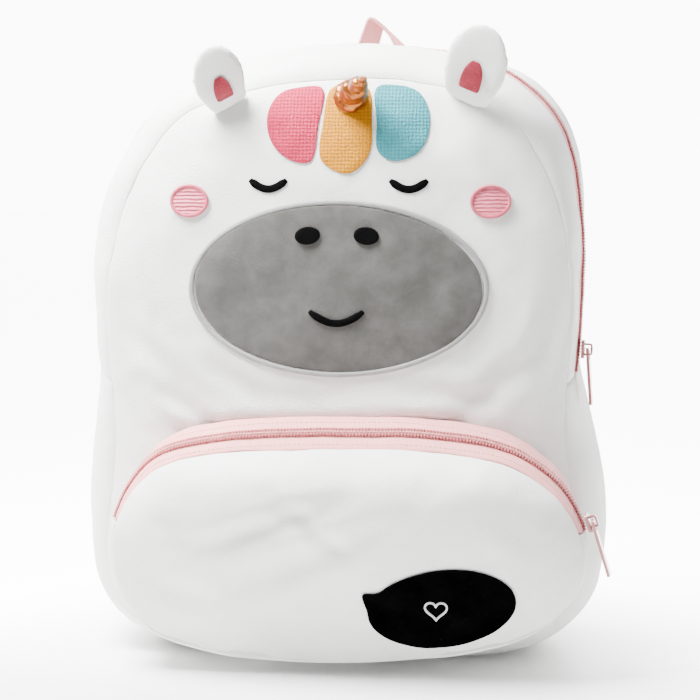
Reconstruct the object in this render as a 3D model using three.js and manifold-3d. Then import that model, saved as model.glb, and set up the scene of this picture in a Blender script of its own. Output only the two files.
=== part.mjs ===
// A child's plush backpack shaped like a unicorn's head, closed and standing by itself.
// Millimetres, +Z up. The face looks along -Y and +X is on the right of someone facing it.
import * as THREE from "three";
import Module from "manifold-3d";
import { mergeVertices } from "three/addons/utils/BufferGeometryUtils.js";

// Driving dimensions of the bag
const bagWidth = 281;
const bagHeight = 321;
const frontDepth = 45; // widest line of the side strip to the front seam
const backDepth = 50; // widest line of the side strip to the back seam
const frontCrown = 18; // how far the stuffed face stands out from its seam
const backCrown = 5;
const topLean = 9; // how much thinner the bag is at its top than at its waist
const plushWall = 3; // padded plush with its foam
const seamGap = 0.5; // left between two pieces that are sewn together
const patchLift = 0.4; // left between a sewn-on patch and the plush below it
const patchThick = 1.1;

// Driving dimensions of the zips
const zipTapeWidth = 15;
const zipTapeThick = 1.4;
const zipChainWidth = 5.6;
const zipChainHeight = 1.5;
const sliderLength = 9.5;
const sliderWidth = 8;
const sliderPlate = 1.6;
const bridgeHeight = 4.2;
const bridgeWidth = 2.6;
const bridgeBar = 1.1; // thickness of the metal of the bridge
const pullLength = 29;
const pullWidth = 7.4;
const pullThick = 1.5;
const mainSliderSeat = 0.9; // left between the chain, which bends inwards here, and the flat slider
const pocketSliderSeat = 0.3;
const hingeClearance = 0.5;

// Driving dimensions of the front pocket
const pocketWidth = 240;
const pocketHeight = 110;
const pocketReach = 38; // front seam's plane to the pocket's own seam
const pocketCrown = 17;
const sideSpread = 1.5; // how much wider the pocket is at the face than at its own seam
const sideBulge = 1.6;
const pocketSeat = 1.15; // left between the pocket's sides and the face they are sewn to
const pocketMidX = 9;
const pocketMidZ = 62.5;
const bandRise = 13; // height of the sloping zip band above the pocket's top edge

// Driving dimensions of what is sewn on
const earThick = 11;
const hornLength = 42;
const hornRadius = 9;
const hornTurns = 1.6;
const muzzleWidth = 153;
const muzzleHeight = 89;
const muzzleRim = 2.6; // width of the stitched border
const maneWidth = 84;
const maneDrop = 43;
const bubbleWidth = 76;
const bubbleHeight = 42;
const webbingThick = 1.6;
const handleHeight = 17;
const strapWidth = 52;
const strapPad = 8;
const strapWebbing = 20;
const strapStandOff = 24; // how far a shoulder strap bows away from the back

// Outlines seen from the front, as shares of half the bag's width and of its height: the seam round the
// face, the widest line of the side strip and the seam round the back. One row for each named place.
const outlineRows = [
  { at: "foot_middle", seamX: 0.0, seamZ: 0.02, wideX: 0.0, wideZ: -0.022, backX: 0.0, backZ: 0.014,
    zip: 1.84, puff: 0 },
  { at: "foot_right", seamX: 0.57, seamZ: 0.026, wideX: 0.62, wideZ: -0.014, backX: 0.57, backZ: 0.018,
    zip: 1.84, puff: 0 },
  { at: "corner_right", seamX: 0.83, seamZ: 0.075, wideX: 0.92, wideZ: 0.062, backX: 0.82, backZ: 0.068,
    zip: 1.84, puff: 0 },
  { at: "low_right", seamX: 0.885, seamZ: 0.193, wideX: 1.006, wideZ: 0.2, backX: 0.9, backZ: 0.193,
    zip: 1.75, puff: 0 },
  { at: "hip_right", seamX: 0.845, seamZ: 0.336, wideX: 0.967, wideZ: 0.336, backX: 0.87, backZ: 0.336,
    zip: 1.6, puff: 0 },
  { at: "waist_right", seamX: 0.84, seamZ: 0.455, wideX: 0.889, wideZ: 0.473, backX: 0.83, backZ: 0.467,
    zip: 1.55, puff: 0 },
  { at: "chest_right", seamX: 0.862, seamZ: 0.617, wideX: 0.896, wideZ: 0.617, backX: 0.838, backZ: 0.617,
    zip: 1.66, puff: 0 },
  { at: "cheek_right", seamX: 0.8, seamZ: 0.748, wideX: 0.893, wideZ: 0.735, backX: 0.83, backZ: 0.74,
    zip: 1.78, puff: 0.01 },
  { at: "shoulder_right", seamX: 0.698, seamZ: 0.841, wideX: 0.826, wideZ: 0.866, backX: 0.76, backZ: 0.852,
    zip: 1.8, puff: 0.03 },
  { at: "ear_right", seamX: 0.562, seamZ: 0.907, wideX: 0.63, wideZ: 0.952, backX: 0.56, backZ: 0.925,
    zip: 1.84, puff: 0.03 },
  { at: "crown_right", seamX: 0.285, seamZ: 0.937, wideX: 0.313, wideZ: 0.988, backX: 0.28, backZ: 0.962,
    zip: 1.95, puff: 0.01 },
  { at: "top", seamX: -0.05, seamZ: 0.939, wideX: -0.03, wideZ: 1.0, backX: -0.04, backZ: 0.972,
    zip: 2.0, puff: 0.0 },
  { at: "crown_left", seamX: -0.325, seamZ: 0.925, wideX: -0.37, wideZ: 0.977, backX: -0.34, backZ: 0.952,
    zip: 2.1, puff: 0 },
  { at: "ear_left", seamX: -0.565, seamZ: 0.886, wideX: -0.664, wideZ: 0.921, backX: -0.58, backZ: 0.9,
    zip: 2.1, puff: 0 },
  { at: "shoulder_left", seamX: -0.71, seamZ: 0.82, wideX: -0.833, wideZ: 0.84, backX: -0.75, backZ: 0.832,
    zip: 2.1, puff: 0 },
  { at: "cheek_left", seamX: -0.82, seamZ: 0.707, wideX: -0.94, wideZ: 0.729, backX: -0.85, backZ: 0.718,
    zip: 2.1, puff: 0 },
  { at: "chest_left", seamX: -0.862, seamZ: 0.617, wideX: -0.97, wideZ: 0.611, backX: -0.88, backZ: 0.614,
    zip: 2.1, puff: 0 },
  { at: "waist_left", seamX: -0.847, seamZ: 0.452, wideX: -0.94, wideZ: 0.473, backX: -0.85, backZ: 0.467,
    zip: 2.1, puff: 0 },
  { at: "hip_left", seamX: -0.835, seamZ: 0.336, wideX: -0.982, wideZ: 0.336, backX: -0.88, backZ: 0.336,
    zip: 2.1, puff: 0 },
  { at: "low_left", seamX: -0.87, seamZ: 0.193, wideX: -0.993, wideZ: 0.2, backX: -0.89, backZ: 0.193,
    zip: 1.95, puff: 0 },
  { at: "corner_left", seamX: -0.82, seamZ: 0.075, wideX: -0.915, wideZ: 0.066, backX: -0.81, backZ: 0.068,
    zip: 1.84, puff: 0 },
  { at: "foot_left", seamX: -0.57, seamZ: 0.026, wideX: -0.62, wideZ: -0.014, backX: -0.57, backZ: 0.018,
    zip: 1.84, puff: 0 },
];

// The pocket's seam from its middle, as shares of half its width and of half its height.
const pocketRows = [
  { at: "foot_middle", x: 0.0, z: -1.0 },
  { at: "foot_right", x: 0.46, z: -0.9 },
  { at: "corner_right", x: 0.78, z: -0.7 },
  { at: "side_low_right", x: 0.96, z: -0.34 },
  { at: "side_right", x: 0.99, z: -0.06 },
  { at: "zip_end_right", x: 0.98, z: 0.22 },
  { at: "shoulder_right", x: 0.865, z: 0.63 },
  { at: "arch_right", x: 0.6, z: 0.92 },
  { at: "arch_middle", x: 0.0, z: 0.985 },
  { at: "arch_left", x: -0.56, z: 0.92 },
  { at: "shoulder_left", x: -0.84, z: 0.75 },
  { at: "zip_end_left", x: -0.99, z: 0.26 },
  { at: "side_left", x: -1.0, z: -0.08 },
  { at: "side_low_left", x: -0.96, z: -0.4 },
  { at: "corner_left", x: -0.84, z: -0.76 },
  { at: "foot_left", x: -0.5, z: -0.97 },
];

// An ear from its root to its tip: half width, half thickness, how deep it is cupped and how far it leans
// forward, as shares of the ear's width, thickness, width and height.
const earRows = [
  { along: 0.0, half: 0.36, thick: 0.36, cup: 0.08, lean: 0.0 },
  { along: 0.09, half: 0.4, thick: 0.43, cup: 0.1, lean: 0.01 },
  { along: 0.16, half: 0.43, thick: 0.48, cup: 0.12, lean: 0.02 },
  { along: 0.36, half: 0.49, thick: 0.5, cup: 0.14, lean: 0.05 },
  { along: 0.58, half: 0.48, thick: 0.46, cup: 0.12, lean: 0.09 },
  { along: 0.78, half: 0.39, thick: 0.4, cup: 0.08, lean: 0.13 },
  { along: 0.92, half: 0.25, thick: 0.3, cup: 0.04, lean: 0.16 },
  { along: 0.985, half: 0.12, thick: 0.16, cup: 0.01, lean: 0.175 },
];

const colours = {
  plush: 0xf4f2ee, zipPink: 0xeab9b9, chain: 0xc98a90, metalPink: 0xe8a9a9, webbing: 0xdfa5a6,
  muzzle: 0x9c9995, thread: 0xb9b7b4, black: 0x17161a, cheek: 0xf29bb0, pink: 0xf5779f, yellow: 0xf7b844,
  turquoise: 0x8fd0da, earPink: 0xc24a72, gold: 0xd9a54a,
};

const wasm = await Module();
wasm.setup();

const backpack = new THREE.Group();

// A named mesh with its own material, added to the bag.
function addPiece(name, geometry, colour, roughness = 0.9, metalness = 0) {
  const material = new THREE.MeshStandardMaterial({ color: colour, roughness, metalness });
  const mesh = new THREE.Mesh(geometry, material);
  mesh.name = name;
  backpack.add(mesh);
  return mesh;
}

function geometryOf(points, triangles) {
  const geometry = new THREE.BufferGeometry();
  geometry.setAttribute("position", new THREE.Float32BufferAttribute(points.flatMap((p) => p.toArray()), 3));
  geometry.setIndex(triangles.flat());
  geometry.computeVertexNormals();
  return geometry;
}

// A closed spline through the rows of a table, read at a share of the way round.
function loopThrough(rows, toPoint) {
  return new THREE.CatmullRomCurve3(rows.map(toPoint), true, "centripetal");
}

const halfWidth = bagWidth / 2;
const seamLoop = loopThrough(outlineRows,
  (row) => new THREE.Vector3(row.seamX * halfWidth, 0, row.seamZ * bagHeight));
const wideLoop = loopThrough(outlineRows,
  (row) => new THREE.Vector3(row.wideX * halfWidth, 0, row.wideZ * bagHeight));
const backLoop = loopThrough(outlineRows,
  (row) => new THREE.Vector3(row.backX * halfWidth, 0, row.backZ * bagHeight));
const rowShare = (name) => outlineRows.findIndex((r) => r.at === name) / outlineRows.length;

// The bag gets thinner towards its top.
const leanAt = (z) => topLean * Math.max(0, z / bagHeight - 0.45) ** 1.5 * 2.4;
const seamY = (z) => -frontDepth + leanAt(z);
const backY = (z) => backDepth - leanAt(z);

const zipLine = 1.84; // the zip's middle, in the side strip's own measure
const zipBand = 0.2; // half the stretch round it that keeps its width

const faceMiddle = new THREE.Vector3(0, 0, bagHeight * 0.5);
const backMiddle = new THREE.Vector3(0, 0, bagHeight * 0.48);

// How far a closed outline is from its middle, in any direction.
function reachOf(loop, middle) {
  const samples = 720;
  const table = Array.from({ length: samples }, (_, i) => {
    const p = loop.getPoint(i / samples).sub(middle);
    return { angle: Math.atan2(p.z, p.x), reach: Math.hypot(p.x, p.z) };
  }).sort((one, other) => one.angle - other.angle);
  return (angle) => {
    const high = Math.max(0, table.findIndex((row) => row.angle >= angle));
    const low = (high + samples - 1) % samples;
    const span = (table[high].angle - table[low].angle + 2 * Math.PI) % (2 * Math.PI);
    const into = (angle - table[low].angle + 2 * Math.PI) % (2 * Math.PI);
    return THREE.MathUtils.lerp(table[low].reach, table[high].reach, span > 0 ? into / span : 0);
  };
}

const faceReach = reachOf(seamLoop, faceMiddle);

// Stuffed panels are nearly flat in the middle and roll over close to their seam.
const roll = (share) => 1 - 0.55 * share ** 2.2 - 0.45 * share ** 9;

function shareOut(x, z, middle, reach) {
  const dx = x - middle.x;
  const dz = z - middle.z;
  return Math.min(1, Math.hypot(dx, dz) / reach(Math.atan2(dz, dx)));
}

const faceY = (x, z) => seamY(z) - frontCrown * roll(shareOut(x, z, faceMiddle, faceReach));

// A column of the outline's table at a share of the way round, eased from row to row.
function outlineValue(key, around) {
  const place = THREE.MathUtils.euclideanModulo(around, 1) * outlineRows.length;
  const [low, high] = [Math.floor(place), Math.ceil(place)].map((i) => outlineRows[i % outlineRows.length]);
  return THREE.MathUtils.lerp(low[key], high[key], THREE.MathUtils.smoothstep(place % 1, 0, 1));
}

// Moves a place on the side strip so that the zip's line wanders as the table says. The zip's own band
// isn't stretched.
function alongStrip(place, around) {
  const away = Math.max(0, Math.abs(place - zipLine) - zipBand);
  const room = Math.abs((place < zipLine ? 1 : 3) - zipLine) - zipBand;
  return place + (outlineValue("zip", around) - zipLine) * (1 - away / room);
}

// The bag's whole skin. The first number runs from the middle of the face (0) over the face seam (1), the
// widest line (2) and the back seam (3) to the middle of the back (4). The second runs round the bag.
function skin(place, around) {
  const across = place > 1 && place < 3 ? alongStrip(place, around) : place;
  const seam = seamLoop.getPoint(around);
  const wide = wideLoop.getPoint(around);
  const back = backLoop.getPoint(around);
  const p = new THREE.Vector3();
  if (across <= 1) {
    p.lerpVectors(faceMiddle, seam, Math.max(0, across));
    p.y = faceY(p.x, p.z);
  } else if (across <= 2) {
    const turn = (across - 1) * Math.PI / 2;
    p.lerpVectors(seam, wide, Math.sin(turn));
    p.y = seamY(seam.z) * Math.cos(turn);
  } else if (across <= 3) {
    const turn = (across - 2) * Math.PI / 2;
    p.lerpVectors(back, wide, Math.cos(turn));
    p.y = backY(back.z) * Math.sin(turn);
    const out = wide.clone().sub(faceMiddle).normalize();
    p.addScaledVector(out, outlineValue("puff", around) * bagWidth * Math.sin(Math.PI * (across - 2)) ** 2);
  } else {
    p.lerpVectors(back, backMiddle, Math.min(1, across - 3));
    p.y = backY(p.z) + backCrown * roll(Math.max(0, 4 - across));
  }
  p.z = Math.max(0, p.z);
  return p;
}

// The direction straight out of a skin, taken across a short stretch so that two panels share it at a seam.
function outOf(surface, across, around, step = 0.03) {
  const alongAcross = surface(across + step, around).sub(surface(across - step, around));
  const alongAround = surface(across, around + 0.004).sub(surface(across, around - 0.004));
  return alongAcross.cross(alongAround).normalize();
}

// A share of the way across that moves a point by a given length on the skin.
function shareOf(length, surface, across, around) {
  const span = surface(across + 0.01, around).distanceTo(surface(across - 0.01, around));
  return length * 0.02 / span;
}

// A panel with a wall: the skin between two seams and the same skin one wall further in.
// A panel that starts at a middle (pole) closes there, and one that goes all the way round has no ends.
function wallPanel(surface, stations, around, closed, wall, pole = false) {
  const outer = [];
  const inner = [];
  const last = stations.length - 1;
  const forward = Math.sign(stations[1] - stations[0]);
  for (let i = pole ? 1 : 0; i <= last; i++) {
    for (const share of around) {
      let across = stations[i];
      if (i === last) across -= shareOf(seamGap / 2, surface, across, share) * forward;
      if (i === 0) across += shareOf(seamGap / 2, surface, across, share) * forward;
      const p = surface(across, share);
      outer.push(p);
      inner.push(p.clone().addScaledVector(outOf(surface, across, share), -wall));
    }
  }
  const tip = surface(stations[0], 0);
  const tips = [tip, tip.clone().add(new THREE.Vector3(0, -Math.sign(tip.y) * wall, 0))];
  return shellBetween(outer, inner, around.length, closed, pole ? tips : null);
}

// Closes the space between two matching grids of points into one solid.
function shellBetween(outer, inner, columns, closed, tips = null) {
  const rows = outer.length / columns;
  const points = [...outer, ...inner];
  const half = outer.length;
  const triangles = [];
  const quad = (a, b, c, d) => triangles.push([a, b, c], [a, c, d]);
  const spans = closed ? columns : columns - 1;
  for (let i = 0; i < rows - 1; i++) {
    for (let j = 0; j < spans; j++) {
      const k = (j + 1) % columns;
      const a = i * columns + j;
      const b = i * columns + k;
      quad(a, b, b + columns, a + columns);
      quad(half + a, half + a + columns, half + b + columns, half + b);
    }
  }
  const rim = (i, turned) => {
    for (let j = 0; j < spans; j++) {
      const a = i * columns + j;
      const b = i * columns + (j + 1) % columns;
      if (turned) quad(b, a, half + a, half + b);
      else quad(a, b, half + b, half + a);
    }
  };
  rim(rows - 1, false);
  if (tips) {
    const outerTip = points.push(tips[0]) - 1;
    const innerTip = points.push(tips[1]) - 1;
    for (let j = 0; j < spans; j++) {
      const k = (j + 1) % columns;
      triangles.push([outerTip, k, j], [innerTip, half + j, half + k]);
    }
  } else {
    rim(0, true);
  }
  if (!closed) {
    for (let i = 0; i < rows - 1; i++) {
      const a = i * columns;
      quad(a, a + columns, half + a + columns, half + a);
      const b = a + columns - 1;
      quad(b, half + b, half + b + columns, b + columns);
    }
  }
  return outward(geometryOf(points, triangles));
}

// Turns a closed mesh so that its faces point out, judged by the sign of its volume.
function outward(geometry) {
  const position = geometry.getAttribute("position");
  const index = geometry.getIndex();
  const [a, b, c] = [new THREE.Vector3(), new THREE.Vector3(), new THREE.Vector3()];
  let volume = 0;
  for (let i = 0; i < index.count; i += 3) {
    a.fromBufferAttribute(position, index.getX(i));
    b.fromBufferAttribute(position, index.getX(i + 1));
    c.fromBufferAttribute(position, index.getX(i + 2));
    volume += a.dot(b.cross(c));
  }
  if (volume < 0) {
    for (let i = 0; i < index.count; i += 3) {
      const kept = index.getX(i + 1);
      index.setX(i + 1, index.getX(i + 2));
      index.setX(i + 2, kept);
    }
    geometry.computeVertexNormals();
  }
  return geometry;
}

// Places round the bag that all its panels share, two to each row of the table, so that their edges match.
const aroundCount = 2 * outlineRows.length;
const allAround = Array.from({ length: aroundCount }, (_, i) => i / aroundCount);
const endGap = seamGap / 2 / wideLoop.getLength();

function aroundBetween(from, to) {
  const inside = [];
  for (let i = Math.ceil(from * aroundCount + 0.5); i < to * aroundCount - 0.5; i++) {
    inside.push(i / aroundCount);
  }
  return [from + endGap, ...inside, to - endGap];
}

// The bag's own panels. The main zip ends at the waist on both sides.
const zipEndRight = rowShare("waist_right");
const zipEndLeft = rowShare("waist_left");
const zipHalf = zipTapeWidth / 2 / (frontDepth * 1.2);
const faceStations = [0, 0.22, 0.42, 0.6, 0.74, 0.84, 0.91, 0.96, 1];
const backStations = [4, 3.7, 3.4, 3.18, 3.06, 3];
const frontStripStations = [1, 1.1, 1.25, 1.45, zipLine - zipHalf];
const backStripStations = [zipLine + zipHalf, 2.2, 2.5, 2.75, 2.9, 3];
const lowStripStations = [1, 1.12, 1.3, 1.55, 1.8, 2.2, 2.5, 2.75, 2.9, 3];
const upper = aroundBetween(zipEndRight, zipEndLeft);
const lower = aroundBetween(zipEndLeft - 1, zipEndRight);

addPiece("front_panel", wallPanel(skin, faceStations, allAround, true, plushWall, true), colours.plush);
addPiece("back_panel", wallPanel(skin, backStations, allAround, true, plushWall, true), colours.plush);
addPiece("gusset_front", wallPanel(skin, frontStripStations, upper, false, plushWall), colours.plush);
addPiece("gusset_back", wallPanel(skin, backStripStations, upper, false, plushWall), colours.plush);
addPiece("gusset_base", wallPanel(skin, lowStripStations, lower, false, plushWall), colours.plush);
const tapeStations = [zipLine - zipHalf, zipLine, zipLine + zipHalf];
addPiece("main_zip_tape", wallPanel(skin, tapeStations, upper, false, zipTapeThick), colours.zipPink, 0.75);

// The front pocket's skin: from its middle (0) over its own seam (1) back to the face of the bag (2).
const pocketLoop = loopThrough(pocketRows, (r) => new THREE.Vector3(
  pocketMidX + r.x * pocketWidth / 2, 0, pocketMidZ + r.z * pocketHeight / 2));
const pocketShare = (name) => pocketRows.findIndex((r) => r.at === name) / pocketRows.length;
const pocketMiddle = new THREE.Vector3(pocketMidX, 0, pocketMidZ);

// Above the zip ends the pocket's side is the sloping band that carries the zip.
function bandSlope(z) {
  const above = (z - pocketMidZ) / (pocketHeight / 2);
  return THREE.MathUtils.smoothstep(above, 0.2, 1.0);
}

function pocketSkin(across, around) {
  const edge = pocketLoop.getPoint(around);
  const p = new THREE.Vector3();
  if (across <= 1) {
    p.lerpVectors(pocketMiddle, edge, Math.max(0, across));
    p.y = -frontDepth - pocketReach - pocketCrown * roll(Math.max(0, across));
  } else {
    const out = edge.clone().sub(pocketMiddle).normalize();
    const foot = edge.clone().addScaledVector(out, sideSpread);
    foot.z += bandRise * bandSlope(edge.z);
    const turn = across - 1;
    p.lerpVectors(edge, foot, turn);
    p.addScaledVector(out, sideBulge * Math.sin(Math.PI * Math.min(1, turn)));
    const top = -frontDepth - pocketReach;
    const innerFoot = foot.clone().addScaledVector(out, -plushWall);
    const bottom = Math.min(faceY(foot.x, foot.z), faceY(innerFoot.x, innerFoot.z)) - pocketSeat;
    p.y = THREE.MathUtils.lerp(top, bottom, turn);
  }
  p.z = Math.max(0, p.z);
  return p;
}

const pocketCount = 2 * pocketRows.length;
const pocketAll = Array.from({ length: pocketCount }, (_, i) => i / pocketCount);
const pocketEndGap = seamGap / 2 / pocketLoop.getLength();

function pocketBetween(from, to) {
  const inside = [];
  for (let i = Math.ceil(from * pocketCount + 0.5); i < to * pocketCount - 0.5; i++) {
    inside.push(i / pocketCount);
  }
  return [from + pocketEndGap, ...inside, to - pocketEndGap];
}

const bandRight = pocketShare("zip_end_right");
const bandLeft = pocketShare("zip_end_left");
const bandAround = pocketBetween(bandRight, bandLeft);
const pocketStations = [0, 0.25, 0.48, 0.68, 0.83, 0.93, 1];
addPiece("pocket_panel", wallPanel(pocketSkin, pocketStations, pocketAll, true, plushWall, true),
  colours.plush);
addPiece("pocket_side", wallPanel(pocketSkin, [1, 1.3, 1.7, 2],
  pocketBetween(bandLeft - 1, bandRight), false,
  plushWall), colours.plush);
addPiece("pocket_zip_tape", wallPanel(pocketSkin, [1, 1.35, 1.7, 2], bandAround, false, zipTapeThick),
  colours.zipPink, 0.75);

const pocketReachOut = reachOf(pocketLoop, pocketMiddle);
const pocketTop = -frontDepth - pocketReach;
const pocketY = (x, z) => pocketTop - pocketCrown * roll(shareOut(x, z, pocketMiddle, pocketReachOut));

// A point a given height above a stuffed surface, whose depth is a function of x and z.
function above(surfaceY, x, z, lift) {
  const step = 0.5;
  const slopeX = (surfaceY(x + step, z) - surfaceY(x - step, z)) / (2 * step);
  const slopeZ = (surfaceY(x, z + step) - surfaceY(x, z - step)) / (2 * step);
  const out = new THREE.Vector3(slopeX, -1, slopeZ).normalize();
  return new THREE.Vector3(x, surfaceY(x, z), z).addScaledVector(out, lift);
}

// A patch sewn flat on a stuffed surface, from its outline as points [x, z] round a middle.
function patchOn(surfaceY, outline, middle, shares, thick = patchThick) {
  const outer = [];
  const inner = [];
  for (const share of shares) {
    for (const [x, z] of outline) {
      const px = THREE.MathUtils.lerp(middle[0], x, share);
      const pz = THREE.MathUtils.lerp(middle[1], z, share);
      outer.push(above(surfaceY, px, pz, patchLift + thick));
      inner.push(above(surfaceY, px, pz, patchLift));
    }
  }
  const tips = [above(surfaceY, ...middle, patchLift + thick), above(surfaceY, ...middle, patchLift)];
  return shellBetween(outer, inner, outline.length, true, tips);
}

// A stitched line on a stuffed surface, along points [x, z, half width].
function strokeOn(surfaceY, path, closed, thick = patchThick) {
  const outer = [];
  const inner = [];
  for (const side of [-1, 0, 1]) {
    path.forEach(([x, z, half], i) => {
      const before = path[closed ? (i + path.length - 1) % path.length : Math.max(0, i - 1)];
      const after = path[closed ? (i + 1) % path.length : Math.min(path.length - 1, i + 1)];
      const run = Math.hypot(after[0] - before[0], after[1] - before[1]);
      const px = x - side * half * (after[1] - before[1]) / run;
      const pz = z + side * half * (after[0] - before[0]) / run;
      const crest = side === 0 ? 1 : 0.55;
      outer.push(above(surfaceY, px, pz, patchLift + thick * crest));
      inner.push(above(surfaceY, px, pz, patchLift));
    });
  }
  return shellBetween(outer, inner, path.length, closed);
}

const ellipse = (x, z, halfX, halfZ, count, tilt = 0) => Array.from({ length: count }, (_, i) => {
  const turn = 2 * Math.PI * i / count;
  const ex = halfX * Math.cos(turn);
  const ez = halfZ * Math.sin(turn);
  return [x + ex * Math.cos(tilt) - ez * Math.sin(tilt), z + ex * Math.sin(tilt) + ez * Math.cos(tilt)];
});

// An arc as a stroke: a middle, half its span, how far its ends drop below its crown, and its half width.
function arcStroke(x, z, half, drop, halfThick, count = 9) {
  return Array.from({ length: count }, (_, i) => {
    const share = 2 * i / (count - 1) - 1;
    const swell = 0.35 + 0.65 * Math.sqrt(Math.max(0, 1 - share * share));
    return [x + share * half, z - drop * share * share, halfThick * swell];
  });
}

// The face: all its pieces are placed from the middle of the muzzle.
const muzzleX = 2;
const muzzleZ = 195.5;
const muzzleTilt = -0.018;
const eyeSpread = 36;
const eyeRise = 50;
const eyeHalf = 11;
const eyeDrop = -6.5; // the lids are closed, so the arcs hang down
const eyeThick = 1.5;
const cheekSpread = 77;
const cheekRise = 44;
const cheekHalf = [10.2, 8.4];
const nostrilSpread = 15;
const nostrilRise = 27;
const nostrilHalf = [6.8, 4.7];
const smileRise = -17;
const smileHalf = 15;
const smileDrop = -7;
const smileThick = 2;

const muzzleHalf = [muzzleWidth / 2 - muzzleRim * 2, muzzleHeight / 2 - muzzleRim * 2];
const muzzleOutline = ellipse(muzzleX, muzzleZ, ...muzzleHalf, 36, muzzleTilt);
addPiece("muzzle_patch", patchOn(faceY, muzzleOutline, [muzzleX, muzzleZ], [0.34, 0.67, 1]), colours.muzzle);
const rimHalf = [muzzleHalf[0] + muzzleRim + seamGap, muzzleHalf[1] + muzzleRim + seamGap];
const rimPath = ellipse(muzzleX, muzzleZ, ...rimHalf, 36, muzzleTilt).map(([x, z]) => [x, z, muzzleRim]);
addPiece("muzzle_border", strokeOn(faceY, rimPath, true, patchThick * 1.5), colours.thread, 0.5);

// What is stitched on the muzzle lies on its patch.
const onMuzzle = (x, z) => faceY(x, z) - patchLift - patchThick;
for (const [side, sign] of [["left", -1], ["right", 1]]) {
  const nostril = [muzzleX + sign * nostrilSpread, muzzleZ + nostrilRise];
  const nostrilRing = ellipse(...nostril, ...nostrilHalf, 16, -sign * 0.1);
  addPiece("nostril_" + side, patchOn(onMuzzle, nostrilRing, nostril, [0.6, 1]), colours.black, 0.55);
  const cheek = [muzzleX + sign * cheekSpread, muzzleZ + cheekRise];
  addPiece("cheek_" + side, patchOn(faceY, ellipse(...cheek, ...cheekHalf, 20), cheek, [0.6, 1]),
    colours.cheek, 0.6);
  const eye = arcStroke(muzzleX + sign * eyeSpread, muzzleZ + eyeRise, eyeHalf, eyeDrop, eyeThick);
  addPiece("eye_" + side, strokeOn(faceY, eye, false), colours.black, 0.55);
}
const smile = arcStroke(muzzleX, muzzleZ + smileRise, smileHalf, smileDrop, smileThick, 11);
addPiece("mouth", strokeOn(onMuzzle, smile, false), colours.black, 0.55);

// The mane: three embroidered locks under the horn, side by side, each with its own tip. Their outlines are
// shares of half the mane's width and of its drop below the face seam.
const maneX = 6;
const maneLocks = [
  { name: "mane_pink", colour: colours.pink, middle: [-0.62, 0.45], outline: [[-0.3, 0.1], [-0.36, 0.55],
    [-0.42, 0.98], [-0.72, 0.92], [-0.94, 0.68], [-1, 0.36], [-0.86, 0.12], [-0.58, 0.07]] },
  { name: "mane_yellow", colour: colours.yellow, middle: [0.0, 0.5], outline: [[0.25, 0.1], [0.3, 0.5],
    [0.29, 0.9], [0.05, 1.14], [-0.2, 1.06], [-0.34, 0.92], [-0.3, 0.5], [-0.24, 0.1], [0, 0.07]] },
  { name: "mane_turquoise", colour: colours.turquoise, middle: [0.62, 0.44], outline: [[0.86, 0.12], [1, 0.36],
    [0.98, 0.66], [0.84, 0.88], [0.56, 0.98], [0.36, 0.86], [0.36, 0.5], [0.31, 0.1], [0.58, 0.07]] },
];

function seamTopAt(x) {
  let best = seamLoop.getPoint(0.5);
  for (let i = 0; i < 400; i++) {
    const p = seamLoop.getPoint(0.25 + 0.5 * i / 400);
    if (Math.abs(p.x - x) < Math.abs(best.x - x)) best = p;
  }
  return best.z;
}

for (const lock of maneLocks) {
  const place = ([across, down]) => {
    const x = maneX + across * maneWidth / 2;
    return [x, seamTopAt(x) - down * maneDrop];
  };
  const corners = lock.outline.map(place).map(([x, z]) => new THREE.Vector3(x, 0, z));
  const curve = new THREE.CatmullRomCurve3(corners, true, "centripetal");
  const outline = curve.getPoints(20).slice(0, 20).map((p) => [p.x, p.z]);
  addPiece(lock.name, patchOn(faceY, outline, place(lock.middle), [0.35, 0.68, 1]), lock.colour, 0.45);
}

// A solid through sections with the same number of points, closed by flat fans at both ends.
function loft(sections) {
  const columns = sections[0].length;
  const points = sections.flat();
  const triangles = [];
  for (let i = 0; i < sections.length - 1; i++) {
    for (let j = 0; j < columns; j++) {
      const a = i * columns + j;
      const b = i * columns + (j + 1) % columns;
      triangles.push([a, b, b + columns], [a, b + columns, a + columns]);
    }
  }
  for (const [section, turned] of [[0, false], [sections.length - 1, true]]) {
    const middle = new THREE.Vector3();
    sections[section].forEach((p) => middle.addScaledVector(p, 1 / columns));
    const tip = points.push(middle) - 1;
    for (let j = 0; j < columns; j++) {
      const a = section * columns + j;
      const b = section * columns + (j + 1) % columns;
      triangles.push(turned ? [tip, a, b] : [tip, b, a]);
    }
  }
  return outward(geometryOf(points, triangles));
}

// The horn: a stuffed cone of gold cloth wound with thread, sewn over the mane and nodding forward.
const hornX = 7;
const hornSeatDrop = 10; // below the face seam
const hornLean = new THREE.Vector3(0.28, -0.93, 0.2).normalize();
const hornStations = 12;
const hornSides = 16;
const hornZ = seamTopAt(hornX) - hornSeatDrop;
const hornSeat = patchLift + patchThick + 0.9; // over the locks of the mane
const hornFoot = above(faceY, hornX, hornZ, hornSeat);
const hornSections = Array.from({ length: hornStations + 1 }, (_, i) => {
  const along = i / hornStations;
  const radius = hornRadius * (1 - 0.93 * along ** 1.15);
  return Array.from({ length: hornSides }, (_, j) => {
    const turn = 2 * Math.PI * j / hornSides;
    const groove = 1 + 0.1 * Math.cos(2 * (turn + 2 * Math.PI * hornTurns * along)) * Math.min(1, 4 * along);
    const dx = radius * groove * Math.cos(turn);
    const dz = radius * groove * Math.sin(turn);
    const seat = above(faceY, hornX + dx, hornZ + dz, hornSeat);
    const axisPoint = hornFoot.clone().addScaledVector(hornLean, along * hornLength);
    const free = axisPoint.add(new THREE.Vector3(dx, dx * 0.2, dz));
    return seat.lerp(free, Math.min(1, along * 3));
  });
});
addPiece("horn", loft(hornSections), colours.gold, 0.3, 0.7);

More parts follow.
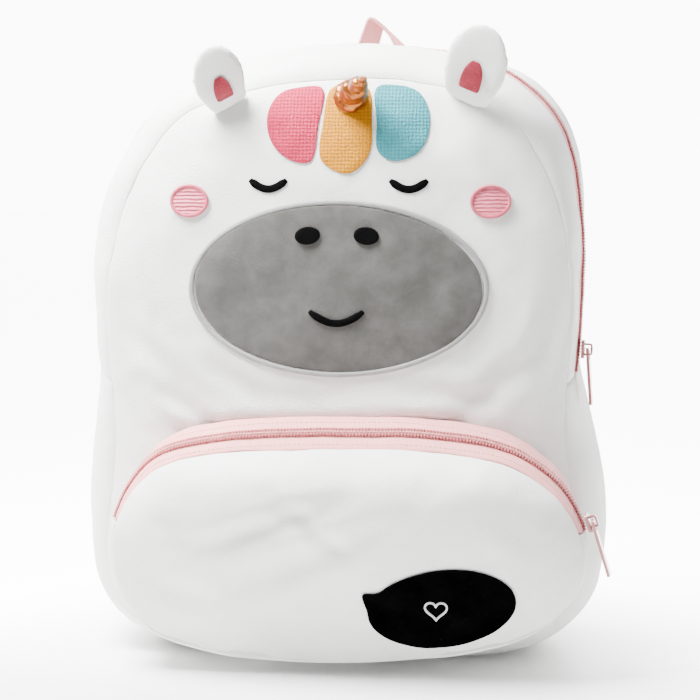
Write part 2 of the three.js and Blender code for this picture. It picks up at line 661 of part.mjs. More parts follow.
// The ears: two layers of plush with a little filling, cupped forward and sewn to the top of the face. Drop
// is how far under the face seam an ear's root lies, slope how its root runs across the face, lean how far
// it nods forward and turn how far its tip goes to the right.
const earPlaces = [
  { name: "left", x: -56, drop: 4.8, height: 33, width: 29, slope: 0.5, lean: 0.45, turn: -0.05 },
  { name: "right", x: 66, drop: 5, height: 38, width: 34, slope: -0.42, lean: 0.12, turn: 0.12 },
];
const earSides = 16;
const earSeat = 0.45; // left between an ear's root and the face
const earRootDepth = 0.3; // half the root's depth, as a share of the ear's thickness
const earFreeFrom = 0.09; // the share of its height above which an ear stands free of the face

// The deep-pink patch in front of an ear: half its spread round the ear at each height, in radians.
const earPatchRows = [
  { along: 0.09, spread: 0.41 },
  { along: 0.16, spread: 0.41 },
  { along: 0.36, spread: 0.34 },
  { along: 0.5, spread: 0.14 },
];

function column(rows, key, along) {
  const next = Math.max(1, rows.findIndex((row) => row.along >= along));
  const [low, high] = [rows[next - 1], rows[next]];
  return THREE.MathUtils.mapLinear(along, low.along, high.along, low[key], high[key]);
}

for (const place of earPlaces) {
  const rootZ = seamTopAt(place.x) - place.drop;
  const root = above(faceY, place.x, rootZ, earSeat + earThick * earRootDepth);
  const across = new THREE.Vector3(1, 0, place.slope).normalize();
  const up = new THREE.Vector3(place.turn - place.slope / 2, -place.lean, 1).normalize();
  const front = up.clone().cross(across).normalize();
  const earPoint = (along, turn, swell = 0) => {
    const half = column(earRows, "half", along) * place.width;
    const thick = column(earRows, "thick", along) * earThick + swell;
    const cup = column(earRows, "cup", along) * place.width * Math.cos(turn) ** 2;
    const forward = thick * Math.sin(turn) + cup + column(earRows, "lean", along) * place.height;
    const free = root.clone().addScaledVector(across, half * Math.cos(turn))
      .addScaledVector(front, -forward).addScaledVector(up, along * place.height);
    const depth = earThick * earRootDepth * Math.sin(turn);
    const seatX = place.x + across.x * half * Math.cos(turn);
    const seatZ = rootZ + across.z * half * Math.cos(turn) - depth;
    const seat = above(faceY, seatX, seatZ, earSeat);
    return seat.lerp(free, Math.min(1, along / earFreeFrom));
  };
  const sections = earRows.map((row) => Array.from({ length: earSides }, (_, j) =>
    earPoint(row.along, 2 * Math.PI * j / earSides)));
  addPiece("ear_" + place.name, loft(sections), colours.plush);
  const outer = [];
  const inner = [];
  for (const row of earPatchRows) {
    for (const side of [-1, -0.5, 0, 0.5, 1]) {
      const turn = Math.PI / 2 - side * row.spread;
      outer.push(earPoint(row.along, turn, patchLift + patchThick));
      inner.push(earPoint(row.along, turn, patchLift));
    }
  }
  addPiece("ear_inner_" + place.name, shellBetween(outer, inner, 5, false), colours.earPink);
}

// The black patch low on the pocket: an oval with a short tail at its upper left.
const bubbleX = 58;
const bubbleZ = 38.5;
const bubbleTilt = 0.16;
const bubbleTail = [16, 47.5];
const bubbleRing = ellipse(bubbleX, bubbleZ, bubbleWidth / 2, bubbleHeight / 2, 32, bubbleTilt);
const tailPlace = 14; // the ring's point that is drawn out into the tail
bubbleRing[tailPlace] = bubbleTail;
addPiece("bubble_patch", patchOn(pocketY, bubbleRing, [bubbleX, bubbleZ], [0.4, 0.75, 1]),
  colours.black, 0.95);

// The teeth of a zip: one flat chain along the middle of its tape, from one end stop to the other.
function chainOn(surface, middle, halfShare, around) {
  const outer = [];
  const inner = [];
  for (const side of [-1, 1]) {
    for (const share of around) {
      const across = middle + side * halfShare;
      const p = surface(across, share);
      const out = outOf(surface, middle, share);
      outer.push(p.clone().addScaledVector(out, patchLift + zipChainHeight));
      inner.push(p.clone().addScaledVector(out, patchLift));
    }
  }
  return shellBetween(outer, inner, around.length, false);
}

const chainHalf = shareOf(zipChainWidth / 2, skin, zipLine, 0.5);
addPiece("main_zip_chain", chainOn(skin, zipLine, chainHalf, upper.slice(0, -1)), colours.chain, 0.5);
const bandLine = 1.4; // where the pocket zip's middle runs on its band
const bandChainHalf = shareOf(zipChainWidth / 2, pocketSkin, bandLine, 0.5);
addPiece("pocket_zip_chain", chainOn(pocketSkin, bandLine, bandChainHalf, bandAround), colours.chain, 0.5);

// Joins or cuts two closed shapes.
function solidOf(geometry) {
  const bare = geometry.clone();
  bare.deleteAttribute("normal");
  bare.deleteAttribute("uv");
  const merged = mergeVertices(bare, 1e-4);
  const vertProperties = Float32Array.from(merged.getAttribute("position").array);
  const triVerts = Uint32Array.from(merged.getIndex().array);
  return new wasm.Manifold(new wasm.Mesh({ numProp: 3, vertProperties, triVerts }));
}

function geometryFrom(solid) {
  const mesh = solid.getMesh();
  const geometry = new THREE.BufferGeometry();
  geometry.setAttribute("position", new THREE.BufferAttribute(Float32Array.from(mesh.vertProperties), 3));
  geometry.setIndex(Array.from(mesh.triVerts));
  geometry.computeVertexNormals();
  return geometry;
}

// An outline with round ends, from x = low to x = high.
function roundedBar(low, high, half, radius) {
  const shape = new THREE.Shape();
  shape.moveTo(low + radius, -half);
  shape.lineTo(high - radius, -half);
  shape.absarc(high - radius, -half + radius, radius, -Math.PI / 2, 0);
  shape.lineTo(high, half - radius);
  shape.absarc(high - radius, half - radius, radius, 0, Math.PI / 2);
  shape.lineTo(low + radius, half);
  shape.absarc(low + radius, half - radius, radius, Math.PI / 2, Math.PI);
  shape.lineTo(low, -half + radius);
  shape.absarc(low + radius, -half + radius, radius, Math.PI, 1.5 * Math.PI);
  return shape;
}

// A slider lies along x with z out of the zip: a plate over the chain and a bridge that holds the bar of
// the pull.
const barHalf = pullThick / 2;
const axisHeight = sliderPlate + (bridgeHeight - bridgeBar) / 2;
function sliderGeometry() {
  const curveSegments = 5;
  const plate = new THREE.ExtrudeGeometry(
    roundedBar(-sliderLength / 2, sliderLength / 2, sliderWidth / 2, 2),
    { depth: sliderPlate, bevelEnabled: false, curveSegments });
  const bridgeHalf = sliderLength * 0.34;
  const arch = new THREE.Shape();
  arch.moveTo(-bridgeHalf, 0);
  arch.lineTo(bridgeHalf, 0);
  arch.lineTo(bridgeHalf, bridgeHeight * 0.6);
  arch.quadraticCurveTo(bridgeHalf, bridgeHeight, bridgeHalf * 0.4, bridgeHeight);
  arch.lineTo(-bridgeHalf * 0.4, bridgeHeight);
  arch.quadraticCurveTo(-bridgeHalf, bridgeHeight, -bridgeHalf, bridgeHeight * 0.6);
  const tunnel = new THREE.Path();
  const inside = bridgeHalf - bridgeBar;
  tunnel.moveTo(-inside, 0.02);
  tunnel.lineTo(-inside, bridgeHeight - bridgeBar);
  tunnel.lineTo(inside, bridgeHeight - bridgeBar);
  tunnel.lineTo(inside, 0.02);
  arch.holes.push(tunnel);
  const bridge = new THREE.ExtrudeGeometry(arch,
    { depth: bridgeWidth, bevelEnabled: false, curveSegments: 3 });
  bridge.rotateX(Math.PI / 2).translate(0, bridgeWidth / 2, sliderPlate - 0.01);
  return geometryFrom(solidOf(plate).add(solidOf(bridge)));
}

// A pull: a flat tab whose end is a frame round the bridge. Its bar lies in the bridge, on the hinge's axis.
const slotEnd = sliderLength * 0.34 + bridgeHeight * 0.35 + hingeClearance;
const pullHalf = pullWidth / 2;
function pullGeometry() {
  const outline = roundedBar(-barHalf, pullLength, pullHalf, 1);
  const slot = new THREE.Path();
  const slotHalf = bridgeWidth / 2 + hingeClearance;
  slot.moveTo(barHalf, -slotHalf);
  slot.lineTo(barHalf, slotHalf);
  slot.lineTo(slotEnd, slotHalf);
  slot.lineTo(slotEnd, -slotHalf);
  outline.holes.push(slot);
  const tab = new THREE.ExtrudeGeometry(outline,
    { depth: pullThick, bevelEnabled: false, curveSegments: 4 });
  return tab.translate(0, 0, -pullThick / 2);
}

// Places a slider on its zip: x down the zip, z out of it. The pull hangs from it and leans on the cloth.
function addZipHardware(prefix, surface, middle, around, sliderSeat, lean) {
  const out = outOf(surface, middle, around);
  const along = surface(middle, around - 0.01).sub(surface(middle, around)).normalize();
  along.addScaledVector(out, -along.dot(out)).normalize();
  const across = out.clone().cross(along);
  const seat = patchLift + zipChainHeight + sliderSeat;
  const origin = surface(middle, around).addScaledVector(out, seat);
  const slider = addPiece(prefix + "_slider", sliderGeometry(), colours.metalPink, 0.35, 0.5);
  slider.quaternion.setFromRotationMatrix(new THREE.Matrix4().makeBasis(along, across, out));
  slider.position.copy(origin);
  const outward = new THREE.Vector3(out.x, out.y, 0).normalize();
  const hanging = new THREE.Vector3(0, 0, -Math.cos(lean)).addScaledVector(outward, Math.sin(lean));
  hanging.addScaledVector(across, -hanging.dot(across)).normalize();
  const pull = addPiece(prefix + "_pull", pullGeometry(), colours.metalPink, 0.35, 0.5);
  const basis = new THREE.Matrix4().makeBasis(hanging, across, hanging.clone().cross(across));
  pull.quaternion.setFromRotationMatrix(basis);
  pull.position.copy(origin).addScaledVector(out, axisHeight);
}

const mainSliderAround = zipEndRight + 0.012;
const pocketSliderAround = bandRight + 0.009;
const mainPullLean = 0.08; // each pull's angle from straight down, away from the cloth
const pocketPullLean = 0.3;
addZipHardware("main_zip", skin, zipLine, mainSliderAround, mainSliderSeat, mainPullLean);
addZipHardware("pocket_zip", pocketSkin, bandLine, pocketSliderAround, pocketSliderSeat, pocketPullLean);

// A strip or pad swept along a path. Its width lies along a chosen direction as nearly as the path allows.
function sweep(path, count, halfAcross, halfThick, widthDirection, sides = 8) {
  return loft(Array.from({ length: count + 1 }, (_, i) => {
    const share = i / count;
    const centre = path.getPoint(share);
    const along = path.getTangent(share);
    const sideways = widthDirection(share);
    const across = sideways.addScaledVector(along, -sideways.dot(along)).normalize();
    const out = along.clone().cross(across);
    return Array.from({ length: sides }, (_, j) => {
      const turn = 2 * Math.PI * (j + 0.5) / sides;
      const cos = Math.cos(turn);
      const sin = Math.sin(turn);
      const u = Math.sign(cos) * Math.abs(cos) ** 0.5 * halfAcross(share);
      const v = Math.sign(sin) * Math.abs(sin) ** 0.7 * halfThick(share);
      return centre.clone().addScaledVector(across, u).addScaledVector(out, v);
    });
  }));
}

const pathThrough = (points) => new THREE.CatmullRomCurve3(points.map((p) => new THREE.Vector3(...p)));

// The skin's point at a place on its far side that lies at a given x, near the top of the bag.
function topSkinAt(across, x) {
  let best = skin(across, 0.5);
  for (let i = 0; i < 400; i++) {
    const p = skin(across, 0.3 + 0.4 * i / 400);
    if (Math.abs(p.x - x) < Math.abs(best.x - x)) best = p;
  }
  return best;
}

// The carrying handle: one length of webbing that stands up from the back seam and folds over at its top.
const handleX = 14;
const handleSpan = 28;
const handleFoot = (x, across) =>
  topSkinAt(across, x).add(new THREE.Vector3(0, 0, seamGap + webbingThick / 2));
const handleRails = [
  { across: 2.42, from: -0.46, apex: -0.2, to: 0.56, rise: 1 },
  { across: 2.8, from: -0.1, apex: 0.06, to: 0.42, rise: 0.98 },
];
const railCurves = handleRails.map((rail) => {
  const apex = handleFoot(handleX + rail.apex * handleSpan, rail.across);
  apex.z += handleHeight * rail.rise;
  const [left, right] = [rail.from, rail.to].map((share) =>
    handleFoot(handleX + share * handleSpan, rail.across));
  const rise = new THREE.Vector3(0, 0, handleHeight * 0.55);
  return new THREE.CatmullRomCurve3([
    left, left.clone().lerp(apex, 0.5).add(rise.clone().multiplyScalar(0.15)),
    apex, right.clone().lerp(apex, 0.5).add(rise.clone().multiplyScalar(0.1)), right]);
});
const handleSteps = 14;
const handleSections = Array.from({ length: handleSteps + 1 }, (_, i) => {
  const [front, rear] = railCurves.map((curve) => curve.getPoint(i / handleSteps));
  const along = railCurves[0].getTangent(i / handleSteps);
  const out = along.clone().cross(rear.clone().sub(front)).normalize();
  const half = webbingThick / 2;
  return [[front, half], [rear, half], [rear, -half], [front, -half]].map(([p, lift]) =>
    p.clone().addScaledVector(out, lift));
});
addPiece("handle_loop", loft(handleSections), colours.webbing, 0.8);

// The shoulder straps: a padded upper part, an adjuster and a webbing lower part on each side.
const strapTop = { x: 32, z: 282 };
const strapLow = { x: 74, z: 108 };
const strapFoot = { x: 104, z: 34 };
const backSurface = (x, z) => {
  const share = shareOut(x, z, backMiddle, backReach);
  return backY(z) + backCrown * roll(share);
};
const backReach = reachOf(backLoop, backMiddle);
const padHalf = strapPad / 2;
const adjusterLength = 20;
const adjusterBar = 3;
const adjusterThick = 2.4;
const bendNearTop = { x: 33, z: 264 }; // where a pad leaves the back
const bendLift = 9;
const middleInward = 6; // how far a pad's middle lies inside the line between its ends
for (const [side, sign] of [["left", -1], ["right", 1]]) {
  const place = ({ x, z }, standOff) => [sign * x, backSurface(sign * x, z) + standOff, z];
  const middle = { x: (strapTop.x + strapLow.x) / 2 - middleInward, z: (strapTop.z + strapLow.z) / 2 };
  const padPath = pathThrough([
    place(strapTop, seamGap + padHalf * 0.8),
    place(bendNearTop, padHalf + bendLift),
    place(middle, strapStandOff),
    place(strapLow, strapStandOff * 0.9),
  ]);
  const wide = () => new THREE.Vector3(1, 0, 0);
  const halfWide = (share) => strapWidth / 2 * (0.62 + 0.38 * Math.sin(Math.PI * share));
  const halfThick = (share) => padHalf * (0.5 + 0.5 * Math.sin(Math.PI * Math.min(1, 0.1 + 0.8 * share)));
  addPiece("strap_pad_" + side, sweep(padPath, 12, halfWide, halfThick, wide), colours.plush);
  const padEnd = padPath.getPoint(1);
  const foot = new THREE.Vector3(...place(strapFoot, seamGap + webbingThick * 1.5));
  const down = padPath.getTangent(1);
  const adjusterAt = padEnd.clone().addScaledVector(down, seamGap + adjusterLength / 2);
  const frame = roundedBar(-adjusterLength / 2, adjusterLength / 2, strapWebbing / 2 + adjusterBar, 2);
  for (const middleOfSlot of [-adjusterLength / 4, adjusterLength / 4]) {
    const slotHalf = adjusterBar * 0.8;
    const slot = roundedBar(middleOfSlot - slotHalf, middleOfSlot + slotHalf, strapWebbing / 2, 1);
    frame.holes.push(new THREE.Path(slot.getPoints(1)));
  }
  const adjuster = new THREE.ExtrudeGeometry(frame,
    { depth: adjusterThick, bevelEnabled: false, curveSegments: 2 });
  adjuster.translate(0, 0, -adjusterThick / 2);
  const adjusterMesh = addPiece("strap_adjuster_" + side, adjuster, colours.metalPink, 0.5);
  const across = wide().addScaledVector(down, -down.x).normalize();
  const facing = new THREE.Matrix4().makeBasis(down, across, down.clone().cross(across));
  adjusterMesh.quaternion.setFromRotationMatrix(facing);
  adjusterMesh.position.copy(adjusterAt);
  const start = padEnd.clone().addScaledVector(down, seamGap * 2 + adjusterLength);
  const webPath = new THREE.CatmullRomCurve3([start, start.clone().addScaledVector(down, 12),
    start.clone().lerp(foot, 0.6).add(new THREE.Vector3(0, 4, 0)), foot]);
  const webbing = sweep(webPath, 10, () => strapWebbing / 2, () => webbingThick / 2, wide, 4);
  addPiece("strap_webbing_" + side, webbing, colours.webbing, 0.8);
}

// The origin is on the floor under the middle of the whole bag, its ears, pocket and straps included.
const extent = new THREE.Box3().setFromObject(backpack);
const middleOfAll = extent.getCenter(new THREE.Vector3());
backpack.position.set(-middleOfAll.x, -middleOfAll.y, -extent.min.z);

export default backpack;
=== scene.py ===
"""A child's plush unicorn backpack, standing closed on a pale floor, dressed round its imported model."""

import math

import bmesh
import bpy
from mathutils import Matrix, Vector, noise
from mathutils.bvhtree import BVHTree


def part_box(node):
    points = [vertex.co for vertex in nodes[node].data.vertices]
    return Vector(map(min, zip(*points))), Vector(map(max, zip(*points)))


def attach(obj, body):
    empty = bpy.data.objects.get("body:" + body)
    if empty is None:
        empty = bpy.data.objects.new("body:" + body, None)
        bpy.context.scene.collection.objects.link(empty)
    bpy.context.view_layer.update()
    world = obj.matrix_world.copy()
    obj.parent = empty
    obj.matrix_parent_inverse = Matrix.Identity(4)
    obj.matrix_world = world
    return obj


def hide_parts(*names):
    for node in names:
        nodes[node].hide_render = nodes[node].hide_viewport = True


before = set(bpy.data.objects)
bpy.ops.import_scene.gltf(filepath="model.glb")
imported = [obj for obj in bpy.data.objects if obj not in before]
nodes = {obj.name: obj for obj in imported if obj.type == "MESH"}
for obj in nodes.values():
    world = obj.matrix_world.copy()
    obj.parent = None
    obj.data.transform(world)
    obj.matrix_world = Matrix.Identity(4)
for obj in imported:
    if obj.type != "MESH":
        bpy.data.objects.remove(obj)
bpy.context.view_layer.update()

# The floor and the light. The bag stands on a white sheet that glows from painted emission, full behind the
# bag and fading out in front, with a painted contact shadow where ambient occlusion finds the bag close; the
# sky is bright behind, as in a shop's photograph, with one big soft lamp above its upper left, so that the
# bag darkens towards its foot.
MM = 0.001
FLOOR_HALF = 6.0
FLOOR_COLOUR = (0.93, 0.93, 0.935, 1)
FLOOR_GLOW = 8.0
GLOW_FRONT = -0.13
GLOW_FULL = 0.08
SHADOW_REACH = 0.10
SKY_FRONT = 0.10
SKY_BEHIND = 11.0
CAMERA_AZIMUTH = math.radians(6.6)
CAMERA_ELEVATION = math.radians(6)
CAMERA_DISTANCE = 1.1
MM_PER_PIXEL = 0.54
FRAME_PIXELS = 700
SENSOR = 36
AIM = Vector((0.0004, 0.0096, 0.158))

bpy.ops.object.select_all(action="DESELECT")
bpy.ops.mesh.primitive_plane_add(size=2 * FLOOR_HALF, location=(0, 0, 0))
floor = bpy.context.object
floor.name = "floor"
floor_material = bpy.data.materials.new("white_sheet")
floor_material.use_nodes = True
floor_tree = floor_material.node_tree
floor_shader = floor_tree.nodes["Principled BSDF"]
floor_shader.inputs["Base Color"].default_value = FLOOR_COLOUR
floor_shader.inputs["Roughness"].default_value = 0.4
floor_shader.inputs["Specular IOR Level"].default_value = 0.5
floor_shader.inputs["Emission Color"].default_value = (1, 1, 1, 1)
floor_place = floor_tree.nodes.new("ShaderNodeTexCoord")
floor_parts = floor_tree.nodes.new("ShaderNodeSeparateXYZ")
floor_fade = floor_tree.nodes.new("ShaderNodeMapRange")
floor_fade.interpolation_type = "SMOOTHSTEP"
floor_fade.inputs["From Min"].default_value = GLOW_FRONT
floor_fade.inputs["From Max"].default_value = GLOW_FULL
floor_fade.inputs["To Max"].default_value = FLOOR_GLOW
# Painted contact shadow: the floor's painted glow is dimmed where ambient occlusion finds the bag close by.
floor_shadow = floor_tree.nodes.new("ShaderNodeAmbientOcclusion")
floor_shadow.samples = 16
floor_shadow.inputs["Distance"].default_value = SHADOW_REACH
floor_shadow_depth = floor_tree.nodes.new("ShaderNodeMath")
floor_shadow_depth.operation = "POWER"
floor_shadow_depth.inputs[1].default_value = 2.2
floor_glow = floor_tree.nodes.new("ShaderNodeMath")
floor_glow.operation = "MULTIPLY"
floor_tree.links.new(floor_place.outputs["Object"], floor_parts.inputs["Vector"])
floor_tree.links.new(floor_parts.outputs["Y"], floor_fade.inputs["Value"])
floor_tree.links.new(floor_shadow.outputs["AO"], floor_shadow_depth.inputs[0])
floor_tree.links.new(floor_fade.outputs["Result"], floor_glow.inputs[0])
floor_tree.links.new(floor_shadow_depth.outputs["Value"], floor_glow.inputs[1])
floor_tree.links.new(floor_glow.outputs["Value"], floor_shader.inputs["Emission Strength"])
floor.data.materials.append(floor_material)

world = bpy.data.worlds.new("studio")
bpy.context.scene.world = world
world.use_nodes = True
sky = world.node_tree.nodes["Background"]
sky.inputs["Color"].default_value = (1, 1, 1, 1)
sky_place = world.node_tree.nodes.new("ShaderNodeTexCoord")
sky_parts = world.node_tree.nodes.new("ShaderNodeSeparateXYZ")
sky_fade = world.node_tree.nodes.new("ShaderNodeMapRange")
sky_fade.interpolation_type = "SMOOTHSTEP"
sky_fade.inputs["From Min"].default_value = 0.80
sky_fade.inputs["From Max"].default_value = 0.94
sky_fade.inputs["To Min"].default_value = SKY_FRONT
sky_fade.inputs["To Max"].default_value = SKY_BEHIND
world.node_tree.links.new(sky_place.outputs["Generated"], sky_parts.inputs["Vector"])
world.node_tree.links.new(sky_parts.outputs["Y"], sky_fade.inputs["Value"])
world.node_tree.links.new(sky_fade.outputs["Result"], sky.inputs["Strength"])

# name, place, what it is aimed at, size, power in watts
LAMPS = [
    ("key", Vector((-0.30, -0.13, 0.80)), Vector((-0.02, 0, 0.24)), 0.4, 48),
    ("fill", Vector((1.3, -1.3, 0.8)), Vector((0, 0, 0.15)), 1.4, 0.6),
    ("top", Vector((0.0, -0.1, 1.3)), Vector((0, 0, 0.3)), 1.0, 8),
]
for lamp_name, place, target, size, power in LAMPS:
    lamp_data = bpy.data.lights.new(lamp_name, "AREA")
    lamp_data.size = size
    lamp_data.energy = power
    lamp = bpy.data.objects.new(lamp_name, lamp_data)
    lamp.location = place
    lamp.rotation_euler = (target - place).to_track_quat("-Z", "Y").to_euler()
    bpy.context.collection.objects.link(lamp)

camera_data = bpy.data.cameras.new("camera")
camera = bpy.data.objects.new("camera", camera_data)
bpy.context.collection.objects.link(camera)
camera_data.sensor_width = SENSOR
camera_data.lens = CAMERA_DISTANCE / (MM_PER_PIXEL * MM) / FRAME_PIXELS * SENSOR
backward = Vector((
    math.sin(CAMERA_AZIMUTH) * math.cos(CAMERA_ELEVATION),
    -math.cos(CAMERA_AZIMUTH) * math.cos(CAMERA_ELEVATION),
    math.sin(CAMERA_ELEVATION),
))
camera.location = AIM + CAMERA_DISTANCE * backward
camera.rotation_euler = (-backward).to_track_quat("-Z", "Y").to_euler()
bpy.context.scene.camera = camera


# The padded plush panels: the face, the strips round the sides, the base and the back. Each is short white
# pile on a knitted backing with foam behind it, sewn edge to edge, so each edge rolls into its seam.
PILE_DEPTH = 0.0008
PLUSH_WHITE = (0.93, 0.93, 0.905, 1)
PLUSH_SHADE = (0.85, 0.855, 0.825, 1)
PANEL_NODES = ("front_panel", "gusset_front", "gusset_back", "gusset_base", "back_panel")


def new_material(name, colour, roughness):
    material = bpy.data.materials.new(name)
    material.use_nodes = True
    shader = material.node_tree.nodes["Principled BSDF"]
    shader.inputs["Base Color"].default_value = colour
    shader.inputs["Roughness"].default_value = roughness
    return material, material.node_tree, shader


def tint(tree, shader, tone, dark, light):
    """Colours a material between two tones by a node's output."""
    mix = tree.nodes.new("ShaderNodeMix")
    mix.data_type = "RGBA"
    mix.inputs[6].default_value = dark
    mix.inputs[7].default_value = light
    tree.links.new(tone, mix.inputs[0])
    tree.links.new(mix.outputs[2], shader.inputs["Base Color"])


def emboss(tree, shader, height, relief, distance):
    """Raises a material's surface by a node's output."""
    bump = tree.nodes.new("ShaderNodeBump")
    bump.inputs["Strength"].default_value = relief
    bump.inputs["Distance"].default_value = distance
    tree.links.new(height, bump.inputs["Height"])
    tree.links.new(bump.outputs["Normal"], shader.inputs["Normal"])


def make_group(name, inputs, outputs, directions=()):
    """A group of shader nodes with its sockets, its entry and its exit."""
    group = bpy.data.node_groups.new(name, "ShaderNodeTree")
    for socket_name, default in inputs:
        socket = group.interface.new_socket(socket_name, in_out="INPUT", socket_type="NodeSocketFloat")
        socket.default_value = default
    for socket_name in directions:
        group.interface.new_socket(socket_name, in_out="INPUT", socket_type="NodeSocketVector")
    for socket_name in outputs:
        group.interface.new_socket(socket_name, in_out="OUTPUT", socket_type="NodeSocketFloat")
    return group, group.nodes.new("NodeGroupInput"), group.nodes.new("NodeGroupOutput")


def make_pile_group():
    """Short pile: fine tufts, and the broad swirls that fingers leave in the nap."""
    group, entry, leave = make_group(
        "short_pile", (("Tuft Scale", 900.0), ("Swirl Scale", 22.0), ("Swirl Depth", 0.3)),
        ("Swirl", "Height"))
    tree = group.nodes
    place = tree.new("ShaderNodeTexCoord")
    tufts = tree.new("ShaderNodeTexNoise")
    tufts.inputs["Detail"].default_value = 3
    tufts.inputs["Roughness"].default_value = 0.7
    swirls = tree.new("ShaderNodeTexNoise")
    swirls.inputs["Detail"].default_value = 4
    swirls.inputs["Roughness"].default_value = 0.62
    swirls.inputs["Distortion"].default_value = 0.25
    contrast = tree.new("ShaderNodeMapRange")
    contrast.inputs["From Min"].default_value = 0.35
    contrast.inputs["From Max"].default_value = 0.65
    scaled = tree.new("ShaderNodeMath")
    scaled.operation = "MULTIPLY_ADD"
    link = group.links.new
    link(place.outputs["Object"], tufts.inputs["Vector"])
    link(place.outputs["Object"], swirls.inputs["Vector"])
    link(entry.outputs["Tuft Scale"], tufts.inputs["Scale"])
    link(entry.outputs["Swirl Scale"], swirls.inputs["Scale"])
    link(swirls.outputs["Fac"], contrast.inputs["Value"])
    link(swirls.outputs["Fac"], scaled.inputs[0])
    link(entry.outputs["Swirl Depth"], scaled.inputs[1])
    link(tufts.outputs["Fac"], scaled.inputs[2])
    link(contrast.outputs["Result"], leave.inputs["Swirl"])
    link(scaled.outputs["Value"], leave.inputs["Height"])
    return group


PILE = make_pile_group()


def make_plush(
        name, light, shade, tuft_scale=900.0, swirl_scale=22.0, swirl_depth=0.5, relief=0.8, sheen=0.3,
        shine=0.1):
    material, tree, shader = new_material(name, light, 0.95)
    pile = tree.nodes.new("ShaderNodeGroup")
    pile.node_tree = PILE
    pile.inputs["Tuft Scale"].default_value = tuft_scale
    pile.inputs["Swirl Scale"].default_value = swirl_scale
    pile.inputs["Swirl Depth"].default_value = swirl_depth
    tint(tree, shader, pile.outputs["Swirl"], shade, light)
    emboss(tree, shader, pile.outputs["Height"], relief, PILE_DEPTH)
    shader.inputs["Sheen Weight"].default_value = sheen
    shader.inputs["Sheen Roughness"].default_value = 0.5
    shader.inputs["Specular IOR Level"].default_value = shine
    return material


white_plush = make_plush("white_plush", PLUSH_WHITE, PLUSH_SHADE)


def copy_of(node, name):
    """A welded copy of a CAD node's mesh, to be shaped into the piece that is seen."""
    mesh = nodes[node].data.copy()
    mesh.name = name
    mesh.materials.clear()
    piece = bpy.data.objects.new(name, mesh)
    bpy.context.collection.objects.link(piece)
    work = bmesh.new()
    work.from_mesh(mesh)
    bmesh.ops.remove_doubles(work, verts=work.verts, dist=2e-5)
    work.to_mesh(mesh)
    work.free()
    return piece


def work_on(piece):
    bpy.ops.object.select_all(action="DESELECT")
    piece.select_set(True)
    bpy.context.view_layer.objects.active = piece


def squares_from_triangles(piece):
    work_on(piece)
    bpy.ops.object.mode_set(mode="EDIT")
    bpy.ops.mesh.select_all(action="SELECT")
    bpy.ops.mesh.tris_convert_to_quads(face_threshold=math.radians(60), shape_threshold=math.radians(75))
    bpy.ops.object.mode_set(mode="OBJECT")


def add_modifier(piece, kind, **settings):
    work_on(piece)
    modifier = piece.modifiers.new(kind.lower(), kind)
    for key, value in settings.items():
        setattr(modifier, key, value)
    bpy.ops.object.modifier_apply(modifier=modifier.name)


def rounded(piece, levels):
    add_modifier(piece, "SUBSURF", levels=levels, render_levels=levels)
    bpy.ops.object.shade_smooth()


def softened(node, name, levels):
    """A copy of a CAD node as a smooth, soft form."""
    piece = copy_of(node, name)
    squares_from_triangles(piece)
    rounded(piece, levels)
    return piece


def bevelled(node, name, width, segments, from_angle, smooth_below):
    """A copy of a CAD node with its hard edges rounded."""
    piece = copy_of(node, name)
    add_modifier(
        piece, "BEVEL", width=width, segments=segments, limit_method="ANGLE",
        angle_limit=math.radians(from_angle))
    work_on(piece)
    bpy.ops.object.shade_smooth_by_angle(angle=math.radians(smooth_below))
    return piece


def middle_and_half(node):
    """The middle of a CAD node's box, and half its size each way."""
    low, high = (Vector(c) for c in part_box(node))
    return (low + high) / 2, (high - low) / 2


def finish_piece(piece, material, body, slot, *replaced):
    piece.data.materials.clear()
    piece.data.materials.append(material)
    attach(piece, body)
    if replaced:
        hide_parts(*replaced)


def hold_corners(piece):
    """Keeps a panel's edges crisp and its corners where they are, so that no hole opens where seams meet."""
    work = bmesh.new()
    work.from_mesh(piece.data)
    edge_crease = work.edges.layers.float.new("crease_edge")
    for edge in work.edges:
        if len(edge.link_faces) == 2 and edge.calc_face_angle() > SEAM_ANGLE:
            edge[edge_crease] = SEAM_CREASE
    crease = work.verts.layers.float.new("crease_vert")
    for corner in work.verts:
        facings = []
        for face in corner.link_faces:
            if all(abs(face.normal.dot(other)) < 0.6 for other in facings):
                facings.append(face.normal.copy())
        if len(facings) > 2:
            corner[crease] = 1.0
    work.to_mesh(piece.data)
    work.free()


def grow(piece, distance):
    add_modifier(piece, "DISPLACE", strength=distance, mid_level=0.0)


def smooth_step(low, high, value):
    share = max(0.0, min(1.0, (value - low) / (high - low)))
    return share * share * (3 - 2 * share)


def ease(piece):
    """Lets a piece give a little, as soft foam does, and sinks the zip behind the bag's crest. Neighbours
    move alike, so the seams stay shut."""
    for point in piece.data.vertices:
        x, y, z = point.co
        crest = smooth_step(*CREST_UP, z) * smooth_step(*CREST_LEFT, x) * (1 - smooth_step(*CREST_RIGHT, x))
        rise = CREST_RISE * math.exp(-((y - CREST_Y) / CREST_WIDTH) ** 2)
        point.co.z += crest * (rise - ZIP_SINK * math.exp(-((y - ZIP_Y) / ZIP_WIDTH) ** 2))
        broad = noise.noise_vector(point.co * EASE_BROAD) * EASE_BROAD_DEPTH
        fine = noise.noise_vector(point.co * EASE_FINE) * EASE_FINE_DEPTH
        point.co += (broad + fine) * smooth_step(0.0, EASE_ABOVE, z)
        point.co.z = max(point.co.z, 0.0)
    piece.data.update()


